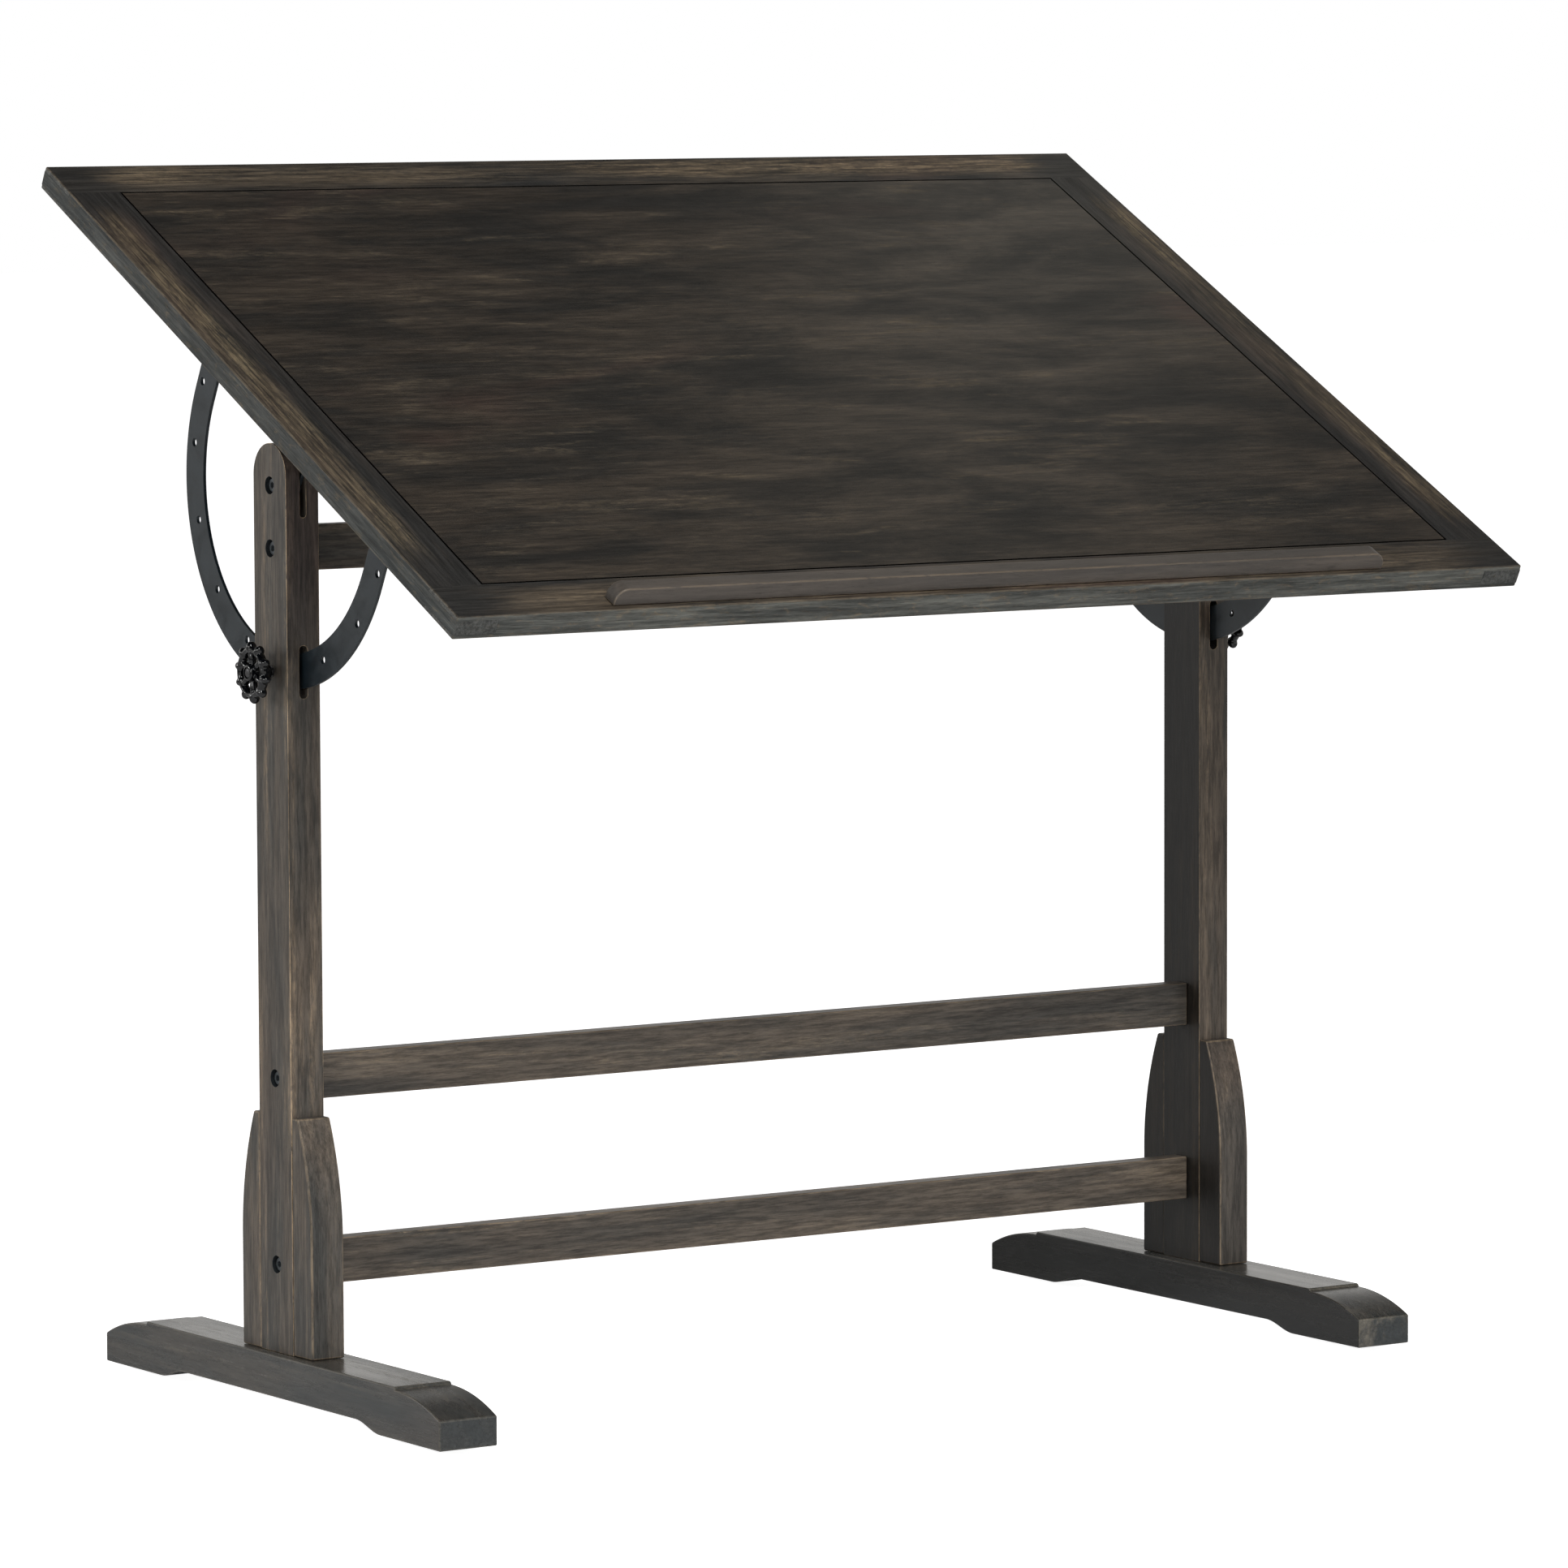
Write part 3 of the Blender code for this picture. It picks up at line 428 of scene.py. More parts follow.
DARK_STEEL = metal("dark_steel", (0.060, 0.060, 0.062), 0.8, 0.36, 1500, 0.02 * MM)
NYLON = metal("nylon", (0.012, 0.012, 0.013), 0.0, 0.48, 1200, 0.03 * MM)


# ---------------------------------------------------------------- shapes


def arc(centre, radius, start, end, steps, squash=1.0):
    """Points along an arc. Angles are in degrees, and squash scales its height."""
    angles = [math.radians(start + (end - start) * i / steps) for i in range(steps + 1)]
    return [
        (centre[0] + radius * math.cos(t), centre[1] + radius * squash * math.sin(t))
        for t in angles
    ]


def ring(centre, radius, steps):
    return arc(centre, radius, 0, 360 * (steps - 1) / steps, steps - 1)


def lowered(outline, drop):
    return [(a, b - drop) for a, b in outline]


def mesh_of(shape):
    mesh = bpy.data.meshes.new("shape")
    bmesh.ops.recalc_face_normals(shape, faces=shape.faces)
    shape.to_mesh(mesh)
    shape.free()
    return mesh


def prism(outline, half):
    """A solid with this outline in A and B, and this half thickness along C."""
    shape = bmesh.new()
    low = [shape.verts.new((a, b, -half)) for a, b in outline]
    high = [shape.verts.new((a, b, half)) for a, b in outline]
    shape.faces.new(low[::-1])
    shape.faces.new(high)
    for i in range(len(outline)):
        j = (i + 1) % len(outline)
        shape.faces.new((low[i], low[j], high[j], high[i]))
    return shape


def brick(half, middle=(0, 0, 0)):
    a, b, c = half
    shape = prism([(-a, -b), (a, -b), (a, b), (-a, b)], c)
    bmesh.ops.translate(shape, vec=middle, verts=shape.verts)
    return shape


def turned(profile, steps=48):
    """A round solid about the third axis, from (place along it, radius) pairs."""
    shape = bmesh.new()
    points = [(profile[0][0], 0), *profile, (profile[-1][0], 0)]
    verts = [shape.verts.new((radius, 0, along)) for along, radius in points]
    edges = [shape.edges.new(pair) for pair in zip(verts, verts[1:])]
    bmesh.ops.spin(shape, geom=verts + edges, axis=(0, 0, 1), cent=(0, 0, 0), angle=math.tau,
                   steps=steps, use_merge=True)
    bmesh.ops.remove_doubles(shape, verts=shape.verts, dist=1e-6)
    return shape


def rod(start, end, radius, steps=48):
    """A plain cylinder along the third axis."""
    return turned([(start, radius), (end, radius)], steps)


def torus(section, steps=96):
    """A ring about the third axis, from (place along it, radius) pairs round its section."""
    shape = bmesh.new()
    rings = []
    for i in range(steps):
        t = math.tau * i / steps
        rings.append([shape.verts.new((r * math.cos(t), r * math.sin(t), z)) for z, r in section])
    for i in range(steps):
        here, there = rings[i], rings[(i + 1) % steps]
        for j in range(len(section)):
            k = (j + 1) % len(section)
            shape.faces.new((here[j], there[j], there[k], here[k]))
    return shape


def lump(turn, reach, along, radii):
    """An ellipsoid this far from the third axis, turned about it by these degrees."""
    shape = bmesh.new()
    bmesh.ops.create_icosphere(shape, subdivisions=4, radius=1)
    place = Matrix.Rotation(math.radians(turn), 4, "Z") @ Matrix.Translation((reach, 0, along))
    shape.transform(place @ Matrix.Diagonal((*radii, 1)))
    return shape


def moved(shape, matrix):
    shape.transform(matrix)
    return shape


def shifted(shape, *offset):
    return moved(shape, Matrix.Translation(offset))


def linked(name, shape):
    obj = bpy.data.objects.new(name, mesh_of(shape))
    bpy.context.scene.collection.objects.link(obj)
    return obj


def solid(name, shape, place, materials, cuts=(), joins=(), bevel=0.0, segments=3, only=None):
    """One shown piece: a shape with others cut from it or joined to it, and its edges rounded."""
    obj = linked(name, shape)
    tools = []
    for operation, others in (("UNION", joins), ("DIFFERENCE", cuts)):
        for other in others:
            tools.append(linked("tool", other))
            modifier = obj.modifiers.new("cut", "BOOLEAN")
            modifier.operation, modifier.object, modifier.solver = operation, tools[-1], "EXACT"
    bake_modifiers(obj, materials)
    for tool in tools:
        bpy.data.objects.remove(tool)
    if bevel:
        round_edges(obj, bevel, segments, only)
    obj.matrix_world = place
    return obj


def bake_modifiers(obj, materials):
    """Applies the modifiers, and leaves every face with the first of these materials."""
    graph = bpy.context.evaluated_depsgraph_get()
    mesh = bpy.data.meshes.new_from_object(obj.evaluated_get(graph))
    mesh.name = obj.name
    mesh.materials.clear()
    for material in materials:
        mesh.materials.append(material)
    mesh.polygons.foreach_set("material_index", [0] * len(mesh.polygons))
    obj.modifiers.clear()
    obj.data = mesh


def round_edges(obj, width, segments, only):
    """Bevels the sharp edges that only() picks, and gives the new faces the second material: the worn wood,
    or on the panel the painted shade of the seam.
    """
    mesh = obj.data
    shape = bmesh.new()
    shape.from_mesh(mesh)
    bmesh.ops.remove_doubles(shape, verts=shape.verts, dist=2e-6)
    bmesh.ops.dissolve_limit(shape, angle_limit=math.radians(0.5), verts=shape.verts,
                             edges=shape.edges, delimit={"NORMAL"})
    sharp = [e for e in shape.edges if e.is_manifold and e.calc_face_angle(0) > CRISP]
    if only is not None:
        sharp = [e for e in sharp if only(*(vert.co for vert in e.verts))]
    bmesh.ops.bevel(shape, geom=sharp, offset=width, offset_type="OFFSET", segments=segments,
                    profile=0.5, affect="EDGES", clamp_overlap=True,
                    material=min(1, len(mesh.materials) - 1))
    for face in shape.faces:
        face.smooth = True
    for edge in shape.edges:
        edge.smooth = edge.calc_face_angle(0) < CRISP
    shape.to_mesh(mesh)
    shape.free()
    weighted = obj.modifiers.new("flat_faces", "WEIGHTED_NORMAL")
    weighted.keep_sharp = True
    weighted.weight = 90


def shade_smooth(obj, angle=35):
    mesh = obj.data
    mesh.polygons.foreach_set("use_smooth", [True] * len(mesh.polygons))
    mesh.set_sharp_from_angle(angle=math.radians(angle))
    return obj


def inward_is(obj, sign):
    """Says which way along C the middle of the table lies, so that painted shade can darken the faces that
    look toward it.
    """
    obj["inward"] = float(sign)
    return obj


def shown(obj, body, node):
    """Hands a finished piece to its body, in place of this CAD node."""
    obj["seed"] = sum(ord(letter) * (i + 3) for i, letter in enumerate(obj.name)) % 97 / 9.7
    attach(obj, body)
    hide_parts(node)


def turned_piece(node, body, place, profile, material, slot, cuts=()):
    piece = solid(f"{node}_{slot}", turned(profile), place, [material], cuts)
    shown(shade_smooth(piece), body, node)


# ---------------------------------------------------------------- the stand

SINK_R, SINK_DEPTH = 0.00725, 0.0088
INSERT_R, INSERT_DEPTH = 0.0053, 0.012
THROUGH = 0.04  # half the length of a cut that goes right through a post
PIVOT_SLOT_X, PIVOT_SLOT_FOOT, PIVOT_SLOT_HALF = 0.4672, 0.7541, 0.003
STRAP_SLOT_X, STRAP_SLOT_FOOT, STRAP_SLOT_TOP, STRAP_SLOT_HALF = 0.4680, 0.6005, 0.6448, 0.004
SHADED_FROM = 0.60  # the board keeps the light off the posts above this height


class Post:
    """The frame of one post, and the openings in it."""

    def __init__(self, side):
        self.s = SIDES[side]
        self.low, self.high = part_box(f"post_{side}")
        self.middle = (self.low + self.high) / 2
        self.outer = (self.high if self.s > 0 else self.low).x

    def a(self, z):
        """A of a point at this height."""
        return z - self.middle.z

    def c(self, x):
        """C of a point at this X."""
        return self.middle.x - x

    def sunk(self, z, depth, radius, steps):
        """A bore into the outer face at this height."""
        start, end = sorted(self.c(self.outer + self.s * reach) for reach in (-depth, 0.002))
        return shifted(rod(start, end, radius, steps), self.a(z), 0, 0)

    def pivot_slot(self):
        a, c = self.a(PIVOT_SLOT_FOOT), self.c(self.s * PIVOT_SLOT_X)
        half_height = 0.06
        upper = brick((half_height, THROUGH, PIVOT_SLOT_HALF), (a + half_height, 0, c))
        end = moved(rod(-THROUGH, THROUGH, PIVOT_SLOT_HALF, 32), Matrix.Translation((a, 0, c)) @ SPAN_B)
        return [upper, end]

    def strap_slot(self):
        r = STRAP_SLOT_HALF
        bottom, top = self.a(STRAP_SLOT_FOOT) + r, self.a(STRAP_SLOT_TOP) - r
        outline = [*arc((top, 0), r, -90, 90, 16), *arc((bottom, 0), r, 90, 270, 16)]
        place = Matrix.Translation((0, 0, self.c(self.s * STRAP_SLOT_X))) @ SPAN_B
        return moved(prism(outline, THROUGH), place)


def post(side):
    name = f"post_{side}"
    place, half = centred(name, GRAIN_Z)
    at = Post(side)
    base = at.a(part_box(f"cheek_{side}_front")[0].z)
    top = at.a(at.high.z) - half.y
    outline = [(base, half.y), (base, -half.y), *arc((top, 0), half.y, -90, 90, 48)]
    bolts = [f"bolt_{side}_{level}" for level in LEVELS] + [f"pivot_bolt_{side}"]
    heights = [middle_of(bolt).z for bolt in bolts]
    cuts = [*at.pivot_slot(), at.strap_slot()]
    cuts += [at.sunk(z, SINK_DEPTH, SINK_R, 48) for z in heights]
    cuts.append(at.sunk(joint_origin(f"clamp_turn_{side}").z, INSERT_DEPTH, INSERT_R, 32))
    piece = solid(name + "_wood", prism(outline, half.z), place, POST_WOOD, cuts, bevel=1.1 * MM)
    shade_bores(piece, [at.a(z) for z in heights], SINK_R + 0.65 * MM)
    piece["shaded_from"] = at.a(SHADED_FROM)
    shown(inward_is(piece, at.s), "stand", name)


def shade_bores(piece, places, radius):
    """Gives the third material, painted shade, to the faces that lie wholly within this radius of a bore's
    axis.
    """
    points = piece.data.vertices
    for face in piece.data.polygons:
        corners = [points[i].co for i in face.vertices]
        if any(all(math.hypot(p.x - a, p.y) < radius for p in corners) for a in places):
            face.material_index = 2


CHEEK_DEPTH, CHEEK_TIP, CHEEK_BOW_FROM = 0.0313, 0.0099, 0.145


def cheek(side, end):
    """A block whose outer edge rises straight, then bows in toward the post."""
    name = f"cheek_{side}_{end}"
    place, half = centred(name, GRAIN_Z)
    low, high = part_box(name)
    middle = (low + high) / 2
    rise, fall = high.z - CHEEK_BOW_FROM, CHEEK_DEPTH - CHEEK_TIP
    radius = (fall**2 + rise**2) / (2 * fall)
    sweep = math.degrees(math.asin(rise / radius))
    bow = arc((CHEEK_DEPTH - radius, CHEEK_BOW_FROM), radius, 0, sweep, 24)
    side_view = [(0.0, low.z), (CHEEK_DEPTH, low.z), *bow, (0.0, high.z)]
    sign = ENDS[end]
    inner = low.y if end == "back" else high.y
    outline = [(z - middle.z, inner - middle.y + sign * depth) for depth, z in side_view]
    piece = solid(name + "_wood", prism(outline, half.z), place, CHEEK_WOOD, bevel=1.6 * MM, segments=4)
    piece["rim"] = sign / half.y
    shown(inward_is(piece, SIDES[side]), "stand", name)


RELIEF_TO, RELIEF_RUN, RELIEF_RISE = 0.145, 0.040, 0.008
RAISED_TO, RAISED_STEP, RAISED_CHAMFER, TOE_TOP = 0.2086, 0.0025, 0.0015, 0.0308
LEVELLER_Y, LEVELLER_BORE_R = 0.22, 0.0036
LEVELLER_BORE = (-0.03, -0.008)  # its start and end, from the foot's middle height
# how far the ends of each foot turn paler in patches
END_PALING = {"left": 0.05, "right": 0.8}


def foot(side):
    """A beam with a relief underneath, a raised pad on top and ends that curve down."""
    name = f"foot_{side}"
    place, half = centred(name, GRAIN_Y)
    low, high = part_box(name)
    mid_z = (low.z + high.z) / 2
    top, under, reach = high.z, low.z, half.x
    drop, run = top - RAISED_STEP - TOE_TOP, reach - RAISED_TO - RAISED_CHAMFER
    radius = (run**2 + drop**2) / (2 * drop)
    sweep = math.degrees(math.asin(run / radius))
    steps = 16
    outline = []
    for i in range(steps + 1):
        fall = RELIEF_RISE * (1 - math.cos(math.pi * i / steps)) / 2
        outline.append((RELIEF_TO + RELIEF_RUN * i / steps, under + RELIEF_RISE - fall))
    outline.append((reach, under))
    shoulder = (RAISED_TO + RAISED_CHAMFER, top - RAISED_STEP - radius)
    outline += arc(shoulder, radius, 90 - sweep, 90, 20)
    outline.append((RAISED_TO, top))
    outline += [(-y, z) for y, z in reversed(outline)]
    cuts = []
    for sign in ENDS.values():
        bore = rod(*LEVELLER_BORE, LEVELLER_BORE_R, 24)
        cuts.append(moved(bore, pointing_b((sign * LEVELLER_Y, 0, 0))))
    shape = prism(lowered(outline, mid_z), half.z)
    piece = solid(name + "_wood", shape, place, FOOT_WOOD, cuts, bevel=1.3 * MM)
    piece["paler_end"] = END_PALING[side]
    shown(inward_is(piece, -SIDES[side]), "stand", name)


NUT_BORE = (-0.02, 0.0065)  # its start and end, from the stretcher's middle
NUT_BORE_R = 0.0056


def stretcher(level):
    """A rail between the posts, with a bore for a barrel nut near each end."""
    name = f"stretcher_{level}"
    place, half = centred(name, GRAIN_X)
    nuts = [middle_of(f"barrel_nut_{side}_{level}").x for side in SIDES]
    cuts = [shifted(rod(*NUT_BORE, NUT_BORE_R, 32), x, 0, 0) for x in nuts]
    piece = solid(name + "_wood", brick(half), place, STRETCHER_WOOD, cuts, bevel=1.1 * MM)
    shown(piece, "stand", name)


def bolt(name, side, shank):
    """A socket-headed bolt that points out of the post."""
    low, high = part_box(name)
    place = outward(side, PIVOT.y, (low.z + high.z) / 2)
    near, far = sorted((abs(low.x), abs(high.x)))
    head_r, head_h = 0.0058, 0.006
    profile = [(near, shank - 0.8 * MM), (near + 0.8 * MM, shank), (far - head_h, shank)]
    profile += [(far - head_h, head_r), (far - 0.9 * MM, head_r), (far - 0.4 * MM, head_r - 0.2 * MM)]
    profile += [(far - 0.1 * MM, head_r - 0.5 * MM), (far, head_r - 0.9 * MM)]
    socket = rod(far - 3.2 * MM, far + 1 * MM, 3.0 * MM, 6)
    piece = solid(name + "_steel", turned(profile), place, [BOLT_STEEL], [socket])
    shown(shade_smooth(piece), "stand", name)


def barrel_nut(side, level):
    name = f"barrel_nut_{side}_{level}"
    low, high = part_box(name)
    place = pointing_b((low + high) / 2)
    reach, radius, chamfer = (high.y - low.y) / 2, 0.005, 0.4 * MM
    profile = [(-reach, radius - chamfer), (chamfer - reach, radius)]
    profile += [(reach - chamfer, radius), (reach, radius - chamfer)]
    slot = brick((0.0042, 0.0006, 0.001), (0, 0, reach))
    turned_piece(name, "stand", place, profile, ZINC_STEEL, "zinc_steel", [slot])


PAD_R, PAD_TOP, STEM_R = 0.0042, 0.0057, 0.0025


def leveller(side, end):
    """A threaded foot: a rounded pad on the floor and a stem that goes up into its bore."""
    name = f"leveller_{side}_{end}"
    low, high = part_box(name)
    place = Matrix.Translation(((low.x + high.x) / 2, (low.y + high.y) / 2, 0))
    pad = [(0, 0.0029), (0.2 * MM, 0.0034), (0.8 * MM, 0.0040), (1.6 * MM, PAD_R)]
    pad += [(PAD_TOP - 0.5 * MM, PAD_R), (PAD_TOP, PAD_R - 0.4 * MM)]
    stem = [(PAD_TOP, STEM_R), (high.z, STEM_R)]
    turned_piece(name, name, place, pad + stem, NYLON, "nylon")


# ---------------------------------------------------------------- the clamps

RIM_X = 0.501
RIM_R, NUB_R, SPOKE_R = 0.0190, 0.0206, 0.0125  # from the hub's axis to the middle of each
RIM_RADII = (0.0029, 0.0042)
NUBS, NUB_RADII = 10, (0.0056, 0.0039, 0.0048)
SPOKES, SPOKE_RADII = 6, (0.0088, 0.0030, 0.0036)
HUB_R, HUB_LENGTH, HUB_BORE_R = 0.0070, 0.0208, 0.0048


def knob(side):
    """A cast hand wheel: a lobed rim, spokes and a hub, melted into one another."""
    name = f"knob_{side}"
    place = outward(side, PIVOT.y, joint_origin(f"clamp_turn_{side}").z)
    face = extent(name, place)[1].z
    turns = [math.tau * i / 24 for i in range(24)]
    hub = [(face - HUB_LENGTH, HUB_R - 0.8 * MM), (face - HUB_LENGTH + 0.8 * MM, HUB_R)]
    hub += [(face - 1.2 * MM, HUB_R), (face - 0.4 * MM, HUB_R - 0.4 * MM), (face, HUB_R - 1.2 * MM)]
    width, depth = RIM_RADII
    parts = [torus([(RIM_X + depth * math.sin(t), RIM_R + width * math.cos(t)) for t in turns])]
    parts += [lump(6 + 360 / NUBS * i, NUB_R, RIM_X, NUB_RADII) for i in range(NUBS)]
    parts.append(turned(hub, 64))
    spoke_x = RIM_X - 0.2 * MM
    parts += [lump(5 + 360 / SPOKES * i, SPOKE_R, spoke_x, SPOKE_RADII) for i in range(SPOKES)]
    shape = bmesh.new()
    for part in parts:
        mesh = mesh_of(part)
        shape.from_mesh(mesh)
        bpy.data.meshes.remove(mesh)
    obj = linked(name + "_iron", shape)
    melt = obj.modifiers.new("melt", "REMESH")
    melt.mode, melt.voxel_size = "VOXEL", 0.45 * MM
    relax = obj.modifiers.new("relax", "SMOOTH")
    relax.factor, relax.iterations = 0.6, 12
    bore = linked("tool", rod(face - 2.4 * MM, face + 1 * MM, HUB_BORE_R))
    cut = obj.modifiers.new("cut", "BOOLEAN")
    cut.object, cut.solver = bore, "EXACT"
    bake_modifiers(obj, [KNOB_IRON])
    bpy.data.objects.remove(bore)
    obj.matrix_world = place
    shown(shade_smooth(obj, 50), f"clamp_knob_{side}", name)


def clamp_screw(side):
    """The screw in the knob: a low round head, a shank and a thinner point for the pad."""
    name = f"clamp_screw_{side}"
    place = outward(side, PIVOT.y, joint_origin(f"clamp_turn_{side}").z)
    low, high = extent(name, place)
    tip, head = low.z + 1.3 * MM, high.z - 2.0 * MM
    profile = [(low.z, 0.0015), (tip, 0.0015), (tip, 0.003), (head, 0.003), (head, 0.0044)]
    profile += [(head + 0.9 * MM, 0.0044), (head + 1.5 * MM, 0.0039), (head + 1.9 * MM, 0.0028)]
    profile.append((head + 2.0 * MM, 0.0012))
    turned_piece(name, f"clamp_knob_{side}", place, profile, DARK_STEEL, "zinc_steel")


# ---------------------------------------------------------------- the board

STRAP_OUT, STRAP_IN, STRAP_BAND_FROM = 0.1705, 0.1410, 0.0520
TAB_R, TAB_ROOT, TAB_SHOULDER = 0.0180, 0.0480, 0.012
PIVOT_BORE_R = 0.00406
HOLE_R, HOLES_R, HOLES_RISE = 0.0035, 0.1623, 0.0122  # the holes' own circle lies a little higher
HOLE_ANGLES = (-88.6, -69.3, -46.0, -22.8, 0.0, 22.8, 46.0, 69.3, 88.6)


def quadrant(side):
    """A half ring of steel plate, with a tab for the pivot in the middle of its straight band."""
    name = f"quadrant_{side}"
    place, half = centred(name, STRAP_FRAME)
    low, high = extent(name, STRAP_FRAME)
    middle = (low.y + high.y) / 2
    outside = arc((0, 0), STRAP_OUT, 180, 360, 96) + [(STRAP_OUT, high.y), (-STRAP_OUT, high.y)]
    flare, rise = TAB_ROOT - TAB_R, STRAP_BAND_FROM - TAB_SHOULDER
    window = arc((0, 0), STRAP_IN, 180, 360, 96) + [(STRAP_IN, STRAP_BAND_FROM)]
    window += arc((TAB_ROOT, TAB_SHOULDER), flare, 90, 180, 16, rise / flare)
    window += arc((0, 0), TAB_R, 0, -180, 32)
    window += arc((-TAB_ROOT, TAB_SHOULDER), flare, 0, 90, 16, rise / flare)
    window.append((-STRAP_IN, STRAP_BAND_FROM))
    outlines = [window, ring((0, 0), PIVOT_BORE_R, 32)]
    for angle in HOLE_ANGLES:
        turn = math.radians(angle)
        centre = (HOLES_R * math.sin(turn), HOLES_RISE - HOLES_R * math.cos(turn))
        outlines.append(ring(centre, HOLE_R, 28))
    cuts = [prism(lowered(outline, middle), 0.01) for outline in outlines]
    shape = prism(lowered(outside, middle), half.z)
    piece = solid(name + "_strap", shape, place, [STRAP_STEEL], cuts, bevel=0.25 * MM, segments=2)
    shown(piece, "board", name)


def bar(side):
    """A bar under the board, which a strap is screwed to."""
    name = f"mounting_bar_{side}"
    place, half = centred(name, board_frame(90))
    piece = solid(name + "_wood", brick(half), place, FRAME_WOOD, bevel=1.0 * MM)
    shown(piece, "board", name)


def bar_screw(side, end):
    """A round-headed screw with a cross recess."""
    name = f"bar_screw_{side}_{end}"
    place = BOARD @ outward(side, 0, 0)
    low, high = extent(name, place)
    place = place @ Matrix.Translation(((low.x + high.x) / 2, (low.y + high.y) / 2, 0))
    face = high.z - 2.2 * MM
    profile = [(low.z, 0.0012), (low.z + 3.0 * MM, 0.002), (face, 0.002), (face, 0.004)]
    profile += [(face + 0.8 * MM, 0.0039), (face + 1.6 * MM, 0.0032), (face + 2.1 * MM, 0.0018)]
    profile.append((face + 2.2 * MM, 0.0006))
    long, short, deep = 0.0024, 0.0004, 0.0012
    cross = [brick(half, (0, 0, high.z)) for half in ((long, short, deep), (short, long, deep))]
    turned_piece(name, "board", place, profile, BOLT_STEEL, "bolt_steel", cross)


TENON_W, TENON_T, TENON_DROP = 0.039, 0.013, 0.004
SEAM = 0.0013
OUTER_ROUND = 1.25 * MM
NEAR = 1e-4


def tenon_level(half):
    """C of the middle of a tenon."""
    return half.z - TENON_DROP - TENON_T / 2


def at_outer_side(v, w, half):
    """Whether the edge from v to w lies on the side that faces out of the board."""
    return (v.y + w.y) / 2 < -half.y + NEAR


def at_rim(v, w, half):
    """Whether the edge from v to w lies in the upper or the lower face."""
    return abs(v.z + w.z) / 2 > half.z - NEAR


def rail(end, turn):
    """A rail the whole width of the board, cut out at its ends for the stiles' tenons."""
    name = f"rail_{end}"
    place, half = centred(name, board_frame(turn))
    notch = (TENON_W / 2 + 1.2 * MM, half.y + 10 * MM, TENON_T / 2 + 0.1 * MM)
    notch_a = half.x - TENON_W / 2 + 1 * MM
    cuts = [brick(notch, (s * notch_a, 0, tenon_level(half))) for s in SIDES.values()]

    def outer_edges(v, w):
        outer, rim = at_outer_side(v, w, half), at_rim(v, w, half)
        at_end = abs(v.x + w.x) / 2 > half.x - NEAR
        upright = abs(v.z - w.z) > NEAR
        along = abs(v.x - w.x) > half.x
        return at_end and (rim or (upright and outer)) or (rim and outer and along)

    piece = solid(name + "_wood", brick(half), place, RAIL_WOOD, cuts, bevel=OUTER_ROUND, only=outer_edges)
    piece["reach"] = half.x
    shown(piece, "board", name)


def stile(side, turn):
    """A stile between the rails, with a tenon through each of them."""
    name = f"stile_{side}"
    place, half = centred(name, board_frame(turn))
    rail_half = centred("rail_front", board_frame(0))[1]
    body = half.x - 2 * rail_half.y
    tenon = brick((half.x, TENON_W / 2, TENON_T / 2), (0, TENON_W / 2 - half.y, tenon_level(half)))

    def outer_edges(v, w):
        return at_outer_side(v, w, half) and at_rim(v, w, half) and abs(v.x - w.x) > half.x

    shape = brick((body, half.y, half.z))
    piece = solid(name + "_wood", shape, place, FRAME_WOOD, joins=[tenon],
                  bevel=OUTER_ROUND, only=outer_edges)
    piece["reach"] = body
    shown(piece, "board", name)


def panel():
    """The panel between the rails and stiles, with a seam round it down to a bed, the seam painted with
    shade.
    """
    place = centred("panel", BOARD)[0]
    rail_half = centred("rail_front", board_frame(0))[1]
    stile_half = centred("stile_left", board_frame(-90))[1]
    opening = Vector((rail_half.x - 2 * stile_half.y, stile_half.x - 2 * rail_half.y, rail_half.z))
    half = opening - Vector((SEAM, SEAM, 0))
    bed = brick(opening - Vector((0.03 * MM, 0.03 * MM, 4.0 * MM)))
    piece = solid("panel_wood", brick(half), place, PANEL_WOOD, joins=[bed], bevel=0.5 * MM)
    # painted shade: the panel's sides and the bed beneath get the dark seam material
    for face in piece.data.polygons:
        x, y, _ = face.center
        if abs(x) > half.x - 1.1 * MM or abs(y) > half.y - 1.1 * MM:
            face.material_index = 1
    shown(piece, "board", "panel")


def ledge():
    """A strip that stands on the front rail, with rounded upper corners."""
    place, half = centred("ledge", BOARD @ GRAIN_X)
    r = 0.012
    a, b = half.x, half.y
    outline = [(-a, -b), (a, -b), *arc((a - r, b - r), r, 0, 90, 20), *arc((-a + r, b - r), r, 90, 180, 20)]
    piece = solid("ledge_wood", prism(outline, half.z), place, LEDGE_WOOD, bevel=1.2 * MM)
    shown(piece, "board", "ledge")


# ---------------------------------------------------------------- assembly


def carried_over(name, material):
    """A CAD node that is good enough as it is, with a material on it."""
    node = frame["nodes"][name]
    node["seed"] = 1.0
    node.data.materials.clear()
    node.data.materials.append(material)
    shade_smooth(node)


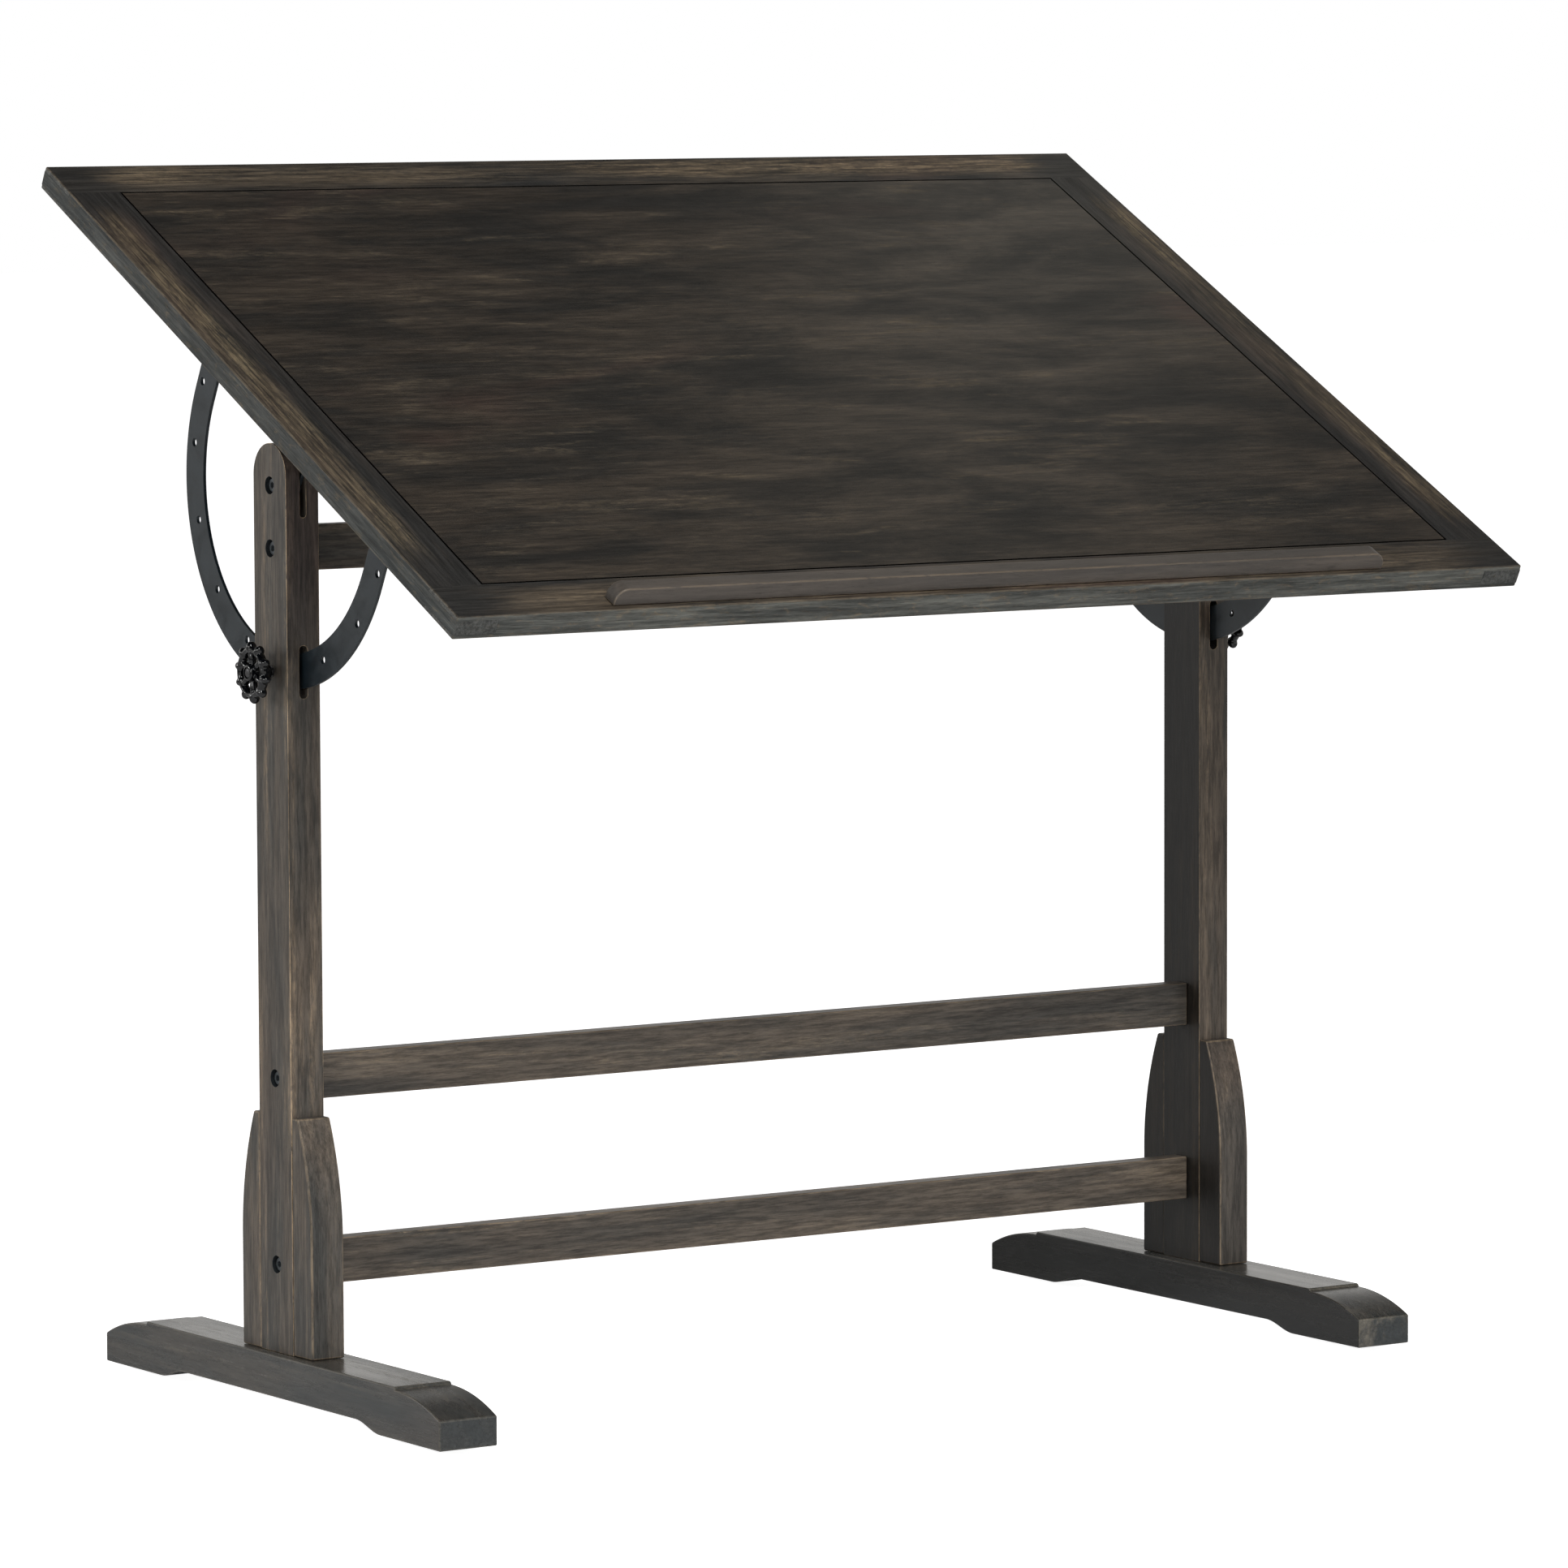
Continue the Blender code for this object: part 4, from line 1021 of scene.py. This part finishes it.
def build():
    for side in SIDES:
        post(side)
        foot(side)
        for end in ENDS:
            cheek(side, end)
            leveller(side, end)
            bar_screw(side, end)
            carried_over(f"foot_screw_{side}_{end}", ZINC_STEEL)
        for level in LEVELS:
            bolt(f"bolt_{side}_{level}", side, 0.003)
            barrel_nut(side, level)
        bolt(f"pivot_bolt_{side}", side, 0.004)
        knob(side)
        clamp_screw(side)
        quadrant(side)
        bar(side)
        carried_over(f"pivot_nut_{side}", BOLT_STEEL)
        carried_over(f"clamp_insert_{side}", DARK_STEEL)
        carried_over(f"clamp_pad_{side}", NYLON)
        carried_over(f"ledge_screw_{side}", ZINC_STEEL)
    for level in LEVELS:
        stretcher(level)
    rail("front", 0)
    rail("back", 180)
    stile("left", -90)
    stile("right", 90)
    panel()
    ledge()


build()


# ---------------------------------------------------------------- studio


def studio():
    """White for the camera. For the light, walls that are bright low down and dark overhead."""
    world = bpy.data.worlds.new("studio")
    bpy.context.scene.world = world
    world.use_nodes = True
    tree = world.node_tree
    tree.nodes.clear()
    out = tree.nodes.new("ShaderNodeOutputWorld")
    direction = tree.nodes.new("ShaderNodeTexCoord")
    parts = tree.nodes.new("ShaderNodeSeparateXYZ")
    tree.links.new(direction.outputs["Generated"], parts.inputs[0])
    height = tree.nodes.new("ShaderNodeMapRange")
    height.interpolation_type = "SMOOTHSTEP"
    for key, value in (("From Min", 0.15), ("From Max", 0.75), ("To Min", 0.92), ("To Max", 0.01)):
        height.inputs[key].default_value = value
    tree.links.new(parts.outputs[2], height.inputs["Value"])
    walls = tree.nodes.new("ShaderNodeBackground")
    walls.inputs["Color"].default_value = (1.0, 0.985, 0.955, 1)
    tree.links.new(height.outputs[0], walls.inputs["Strength"])
    white = tree.nodes.new("ShaderNodeBackground")
    white.inputs["Color"].default_value = (1, 1, 1, 1)
    white.inputs["Strength"].default_value = 1.0
    ray = tree.nodes.new("ShaderNodeLightPath")
    pick = tree.nodes.new("ShaderNodeMixShader")
    tree.links.new(ray.outputs["Is Camera Ray"], pick.inputs[0])
    tree.links.new(walls.outputs[0], pick.inputs[1])
    tree.links.new(white.outputs[0], pick.inputs[2])
    tree.links.new(pick.outputs[0], out.inputs[0])


def floor():
    """A white floor that the camera sees evenly lit, with a trace of shadow, and not at all from below."""
    shape = bmesh.new()
    bmesh.ops.create_grid(shape, x_segments=1, y_segments=1, size=30)
    obj = bpy.data.objects.new("floor", mesh_of(shape))
    g = Graph("floor")
    seen = g.node("LightPath", {}, "Is Camera Ray")
    g.finish(Base_Color=(0.9, 0.9, 0.9), Roughness=0.9, Specular_IOR_Level=0.0,
             Emission_Color=(1, 1, 1), Emission_Strength=g.product(seen, 0.94))
    below = g.node("NewGeometry", {}, "Backfacing")
    clear = g.node("BsdfTransparent", {})
    surface = g.node("MixShader", {0: below, 1: g.shader.outputs[0], 2: clear})
    g.tree.links.new(surface, g.tree.nodes["Material Output"].inputs["Surface"])
    obj.data.materials.append(g.material)
    obj.location.z = -0.2 * MM
    bpy.context.scene.collection.objects.link(obj)


def softbox(name, place, aim, width, height, power, colour=(1, 1, 1)):
    light = bpy.data.lights.new(name, "AREA")
    light.shape = "RECTANGLE"
    light.size, light.size_y, light.energy, light.color = width, height, power, colour
    obj = bpy.data.objects.new(name, light)
    obj.location = place
    obj.rotation_euler = (Vector(aim) - Vector(place)).to_track_quat("-Z", "Y").to_euler()
    bpy.context.scene.collection.objects.link(obj)
    obj.visible_camera = False


CAMERA_PLACE = (-3.86603, -5.89855, 1.14778)
CAMERA_HEADING, CAMERA_PITCH, CAMERA_ROLL = 33.2302, -5.2012, -0.2158  # degrees
CAMERA_LENS, SENSOR = 188.707, 36.0  # millimetres


def camera():
    heading, pitch, roll = (math.radians(v) for v in (CAMERA_HEADING, CAMERA_PITCH, CAMERA_ROLL))
    level = Vector((math.sin(heading), math.cos(heading), 0))
    forward = level * math.cos(pitch) + Vector((0, 0, math.sin(pitch)))
    right = forward.cross(Vector((0, 0, 1))).normalized()
    up = right.cross(forward)
    data = bpy.data.cameras.new("camera")
    data.lens, data.sensor_width = CAMERA_LENS, SENSOR
    data.clip_end = 60
    obj = bpy.data.objects.new("camera", data)
    rolled_right = right * math.cos(roll) + up * math.sin(roll)
    rolled_up = up * math.cos(roll) - right * math.sin(roll)
    obj.matrix_world = columns(rolled_right, rolled_up, -forward, CAMERA_PLACE)
    bpy.context.scene.collection.objects.link(obj)
    bpy.context.scene.camera = obj


studio()
floor()
softbox("overhead", (-0.9, -3.0, 3.4), (0, 0, 0.6), 2.6, 1.6, 130)
softbox("left_window", (-4.4, -1.6, 1.9), (0, 0, 0.5), 1.2, 1.2, 55)
softbox("left_back_lamp", (-3.2, 2.5, 1.5), (-0.45, 0, 0.5), 0.5, 0.5, 18)
softbox("back_glow", (1.24, 0.92, 1.93), (0.45, 0.28, 0.97), 0.5, 0.5, 0.75, (1.0, 0.96, 0.84))
camera()
bpy.context.scene.view_settings.view_transform = "Standard"
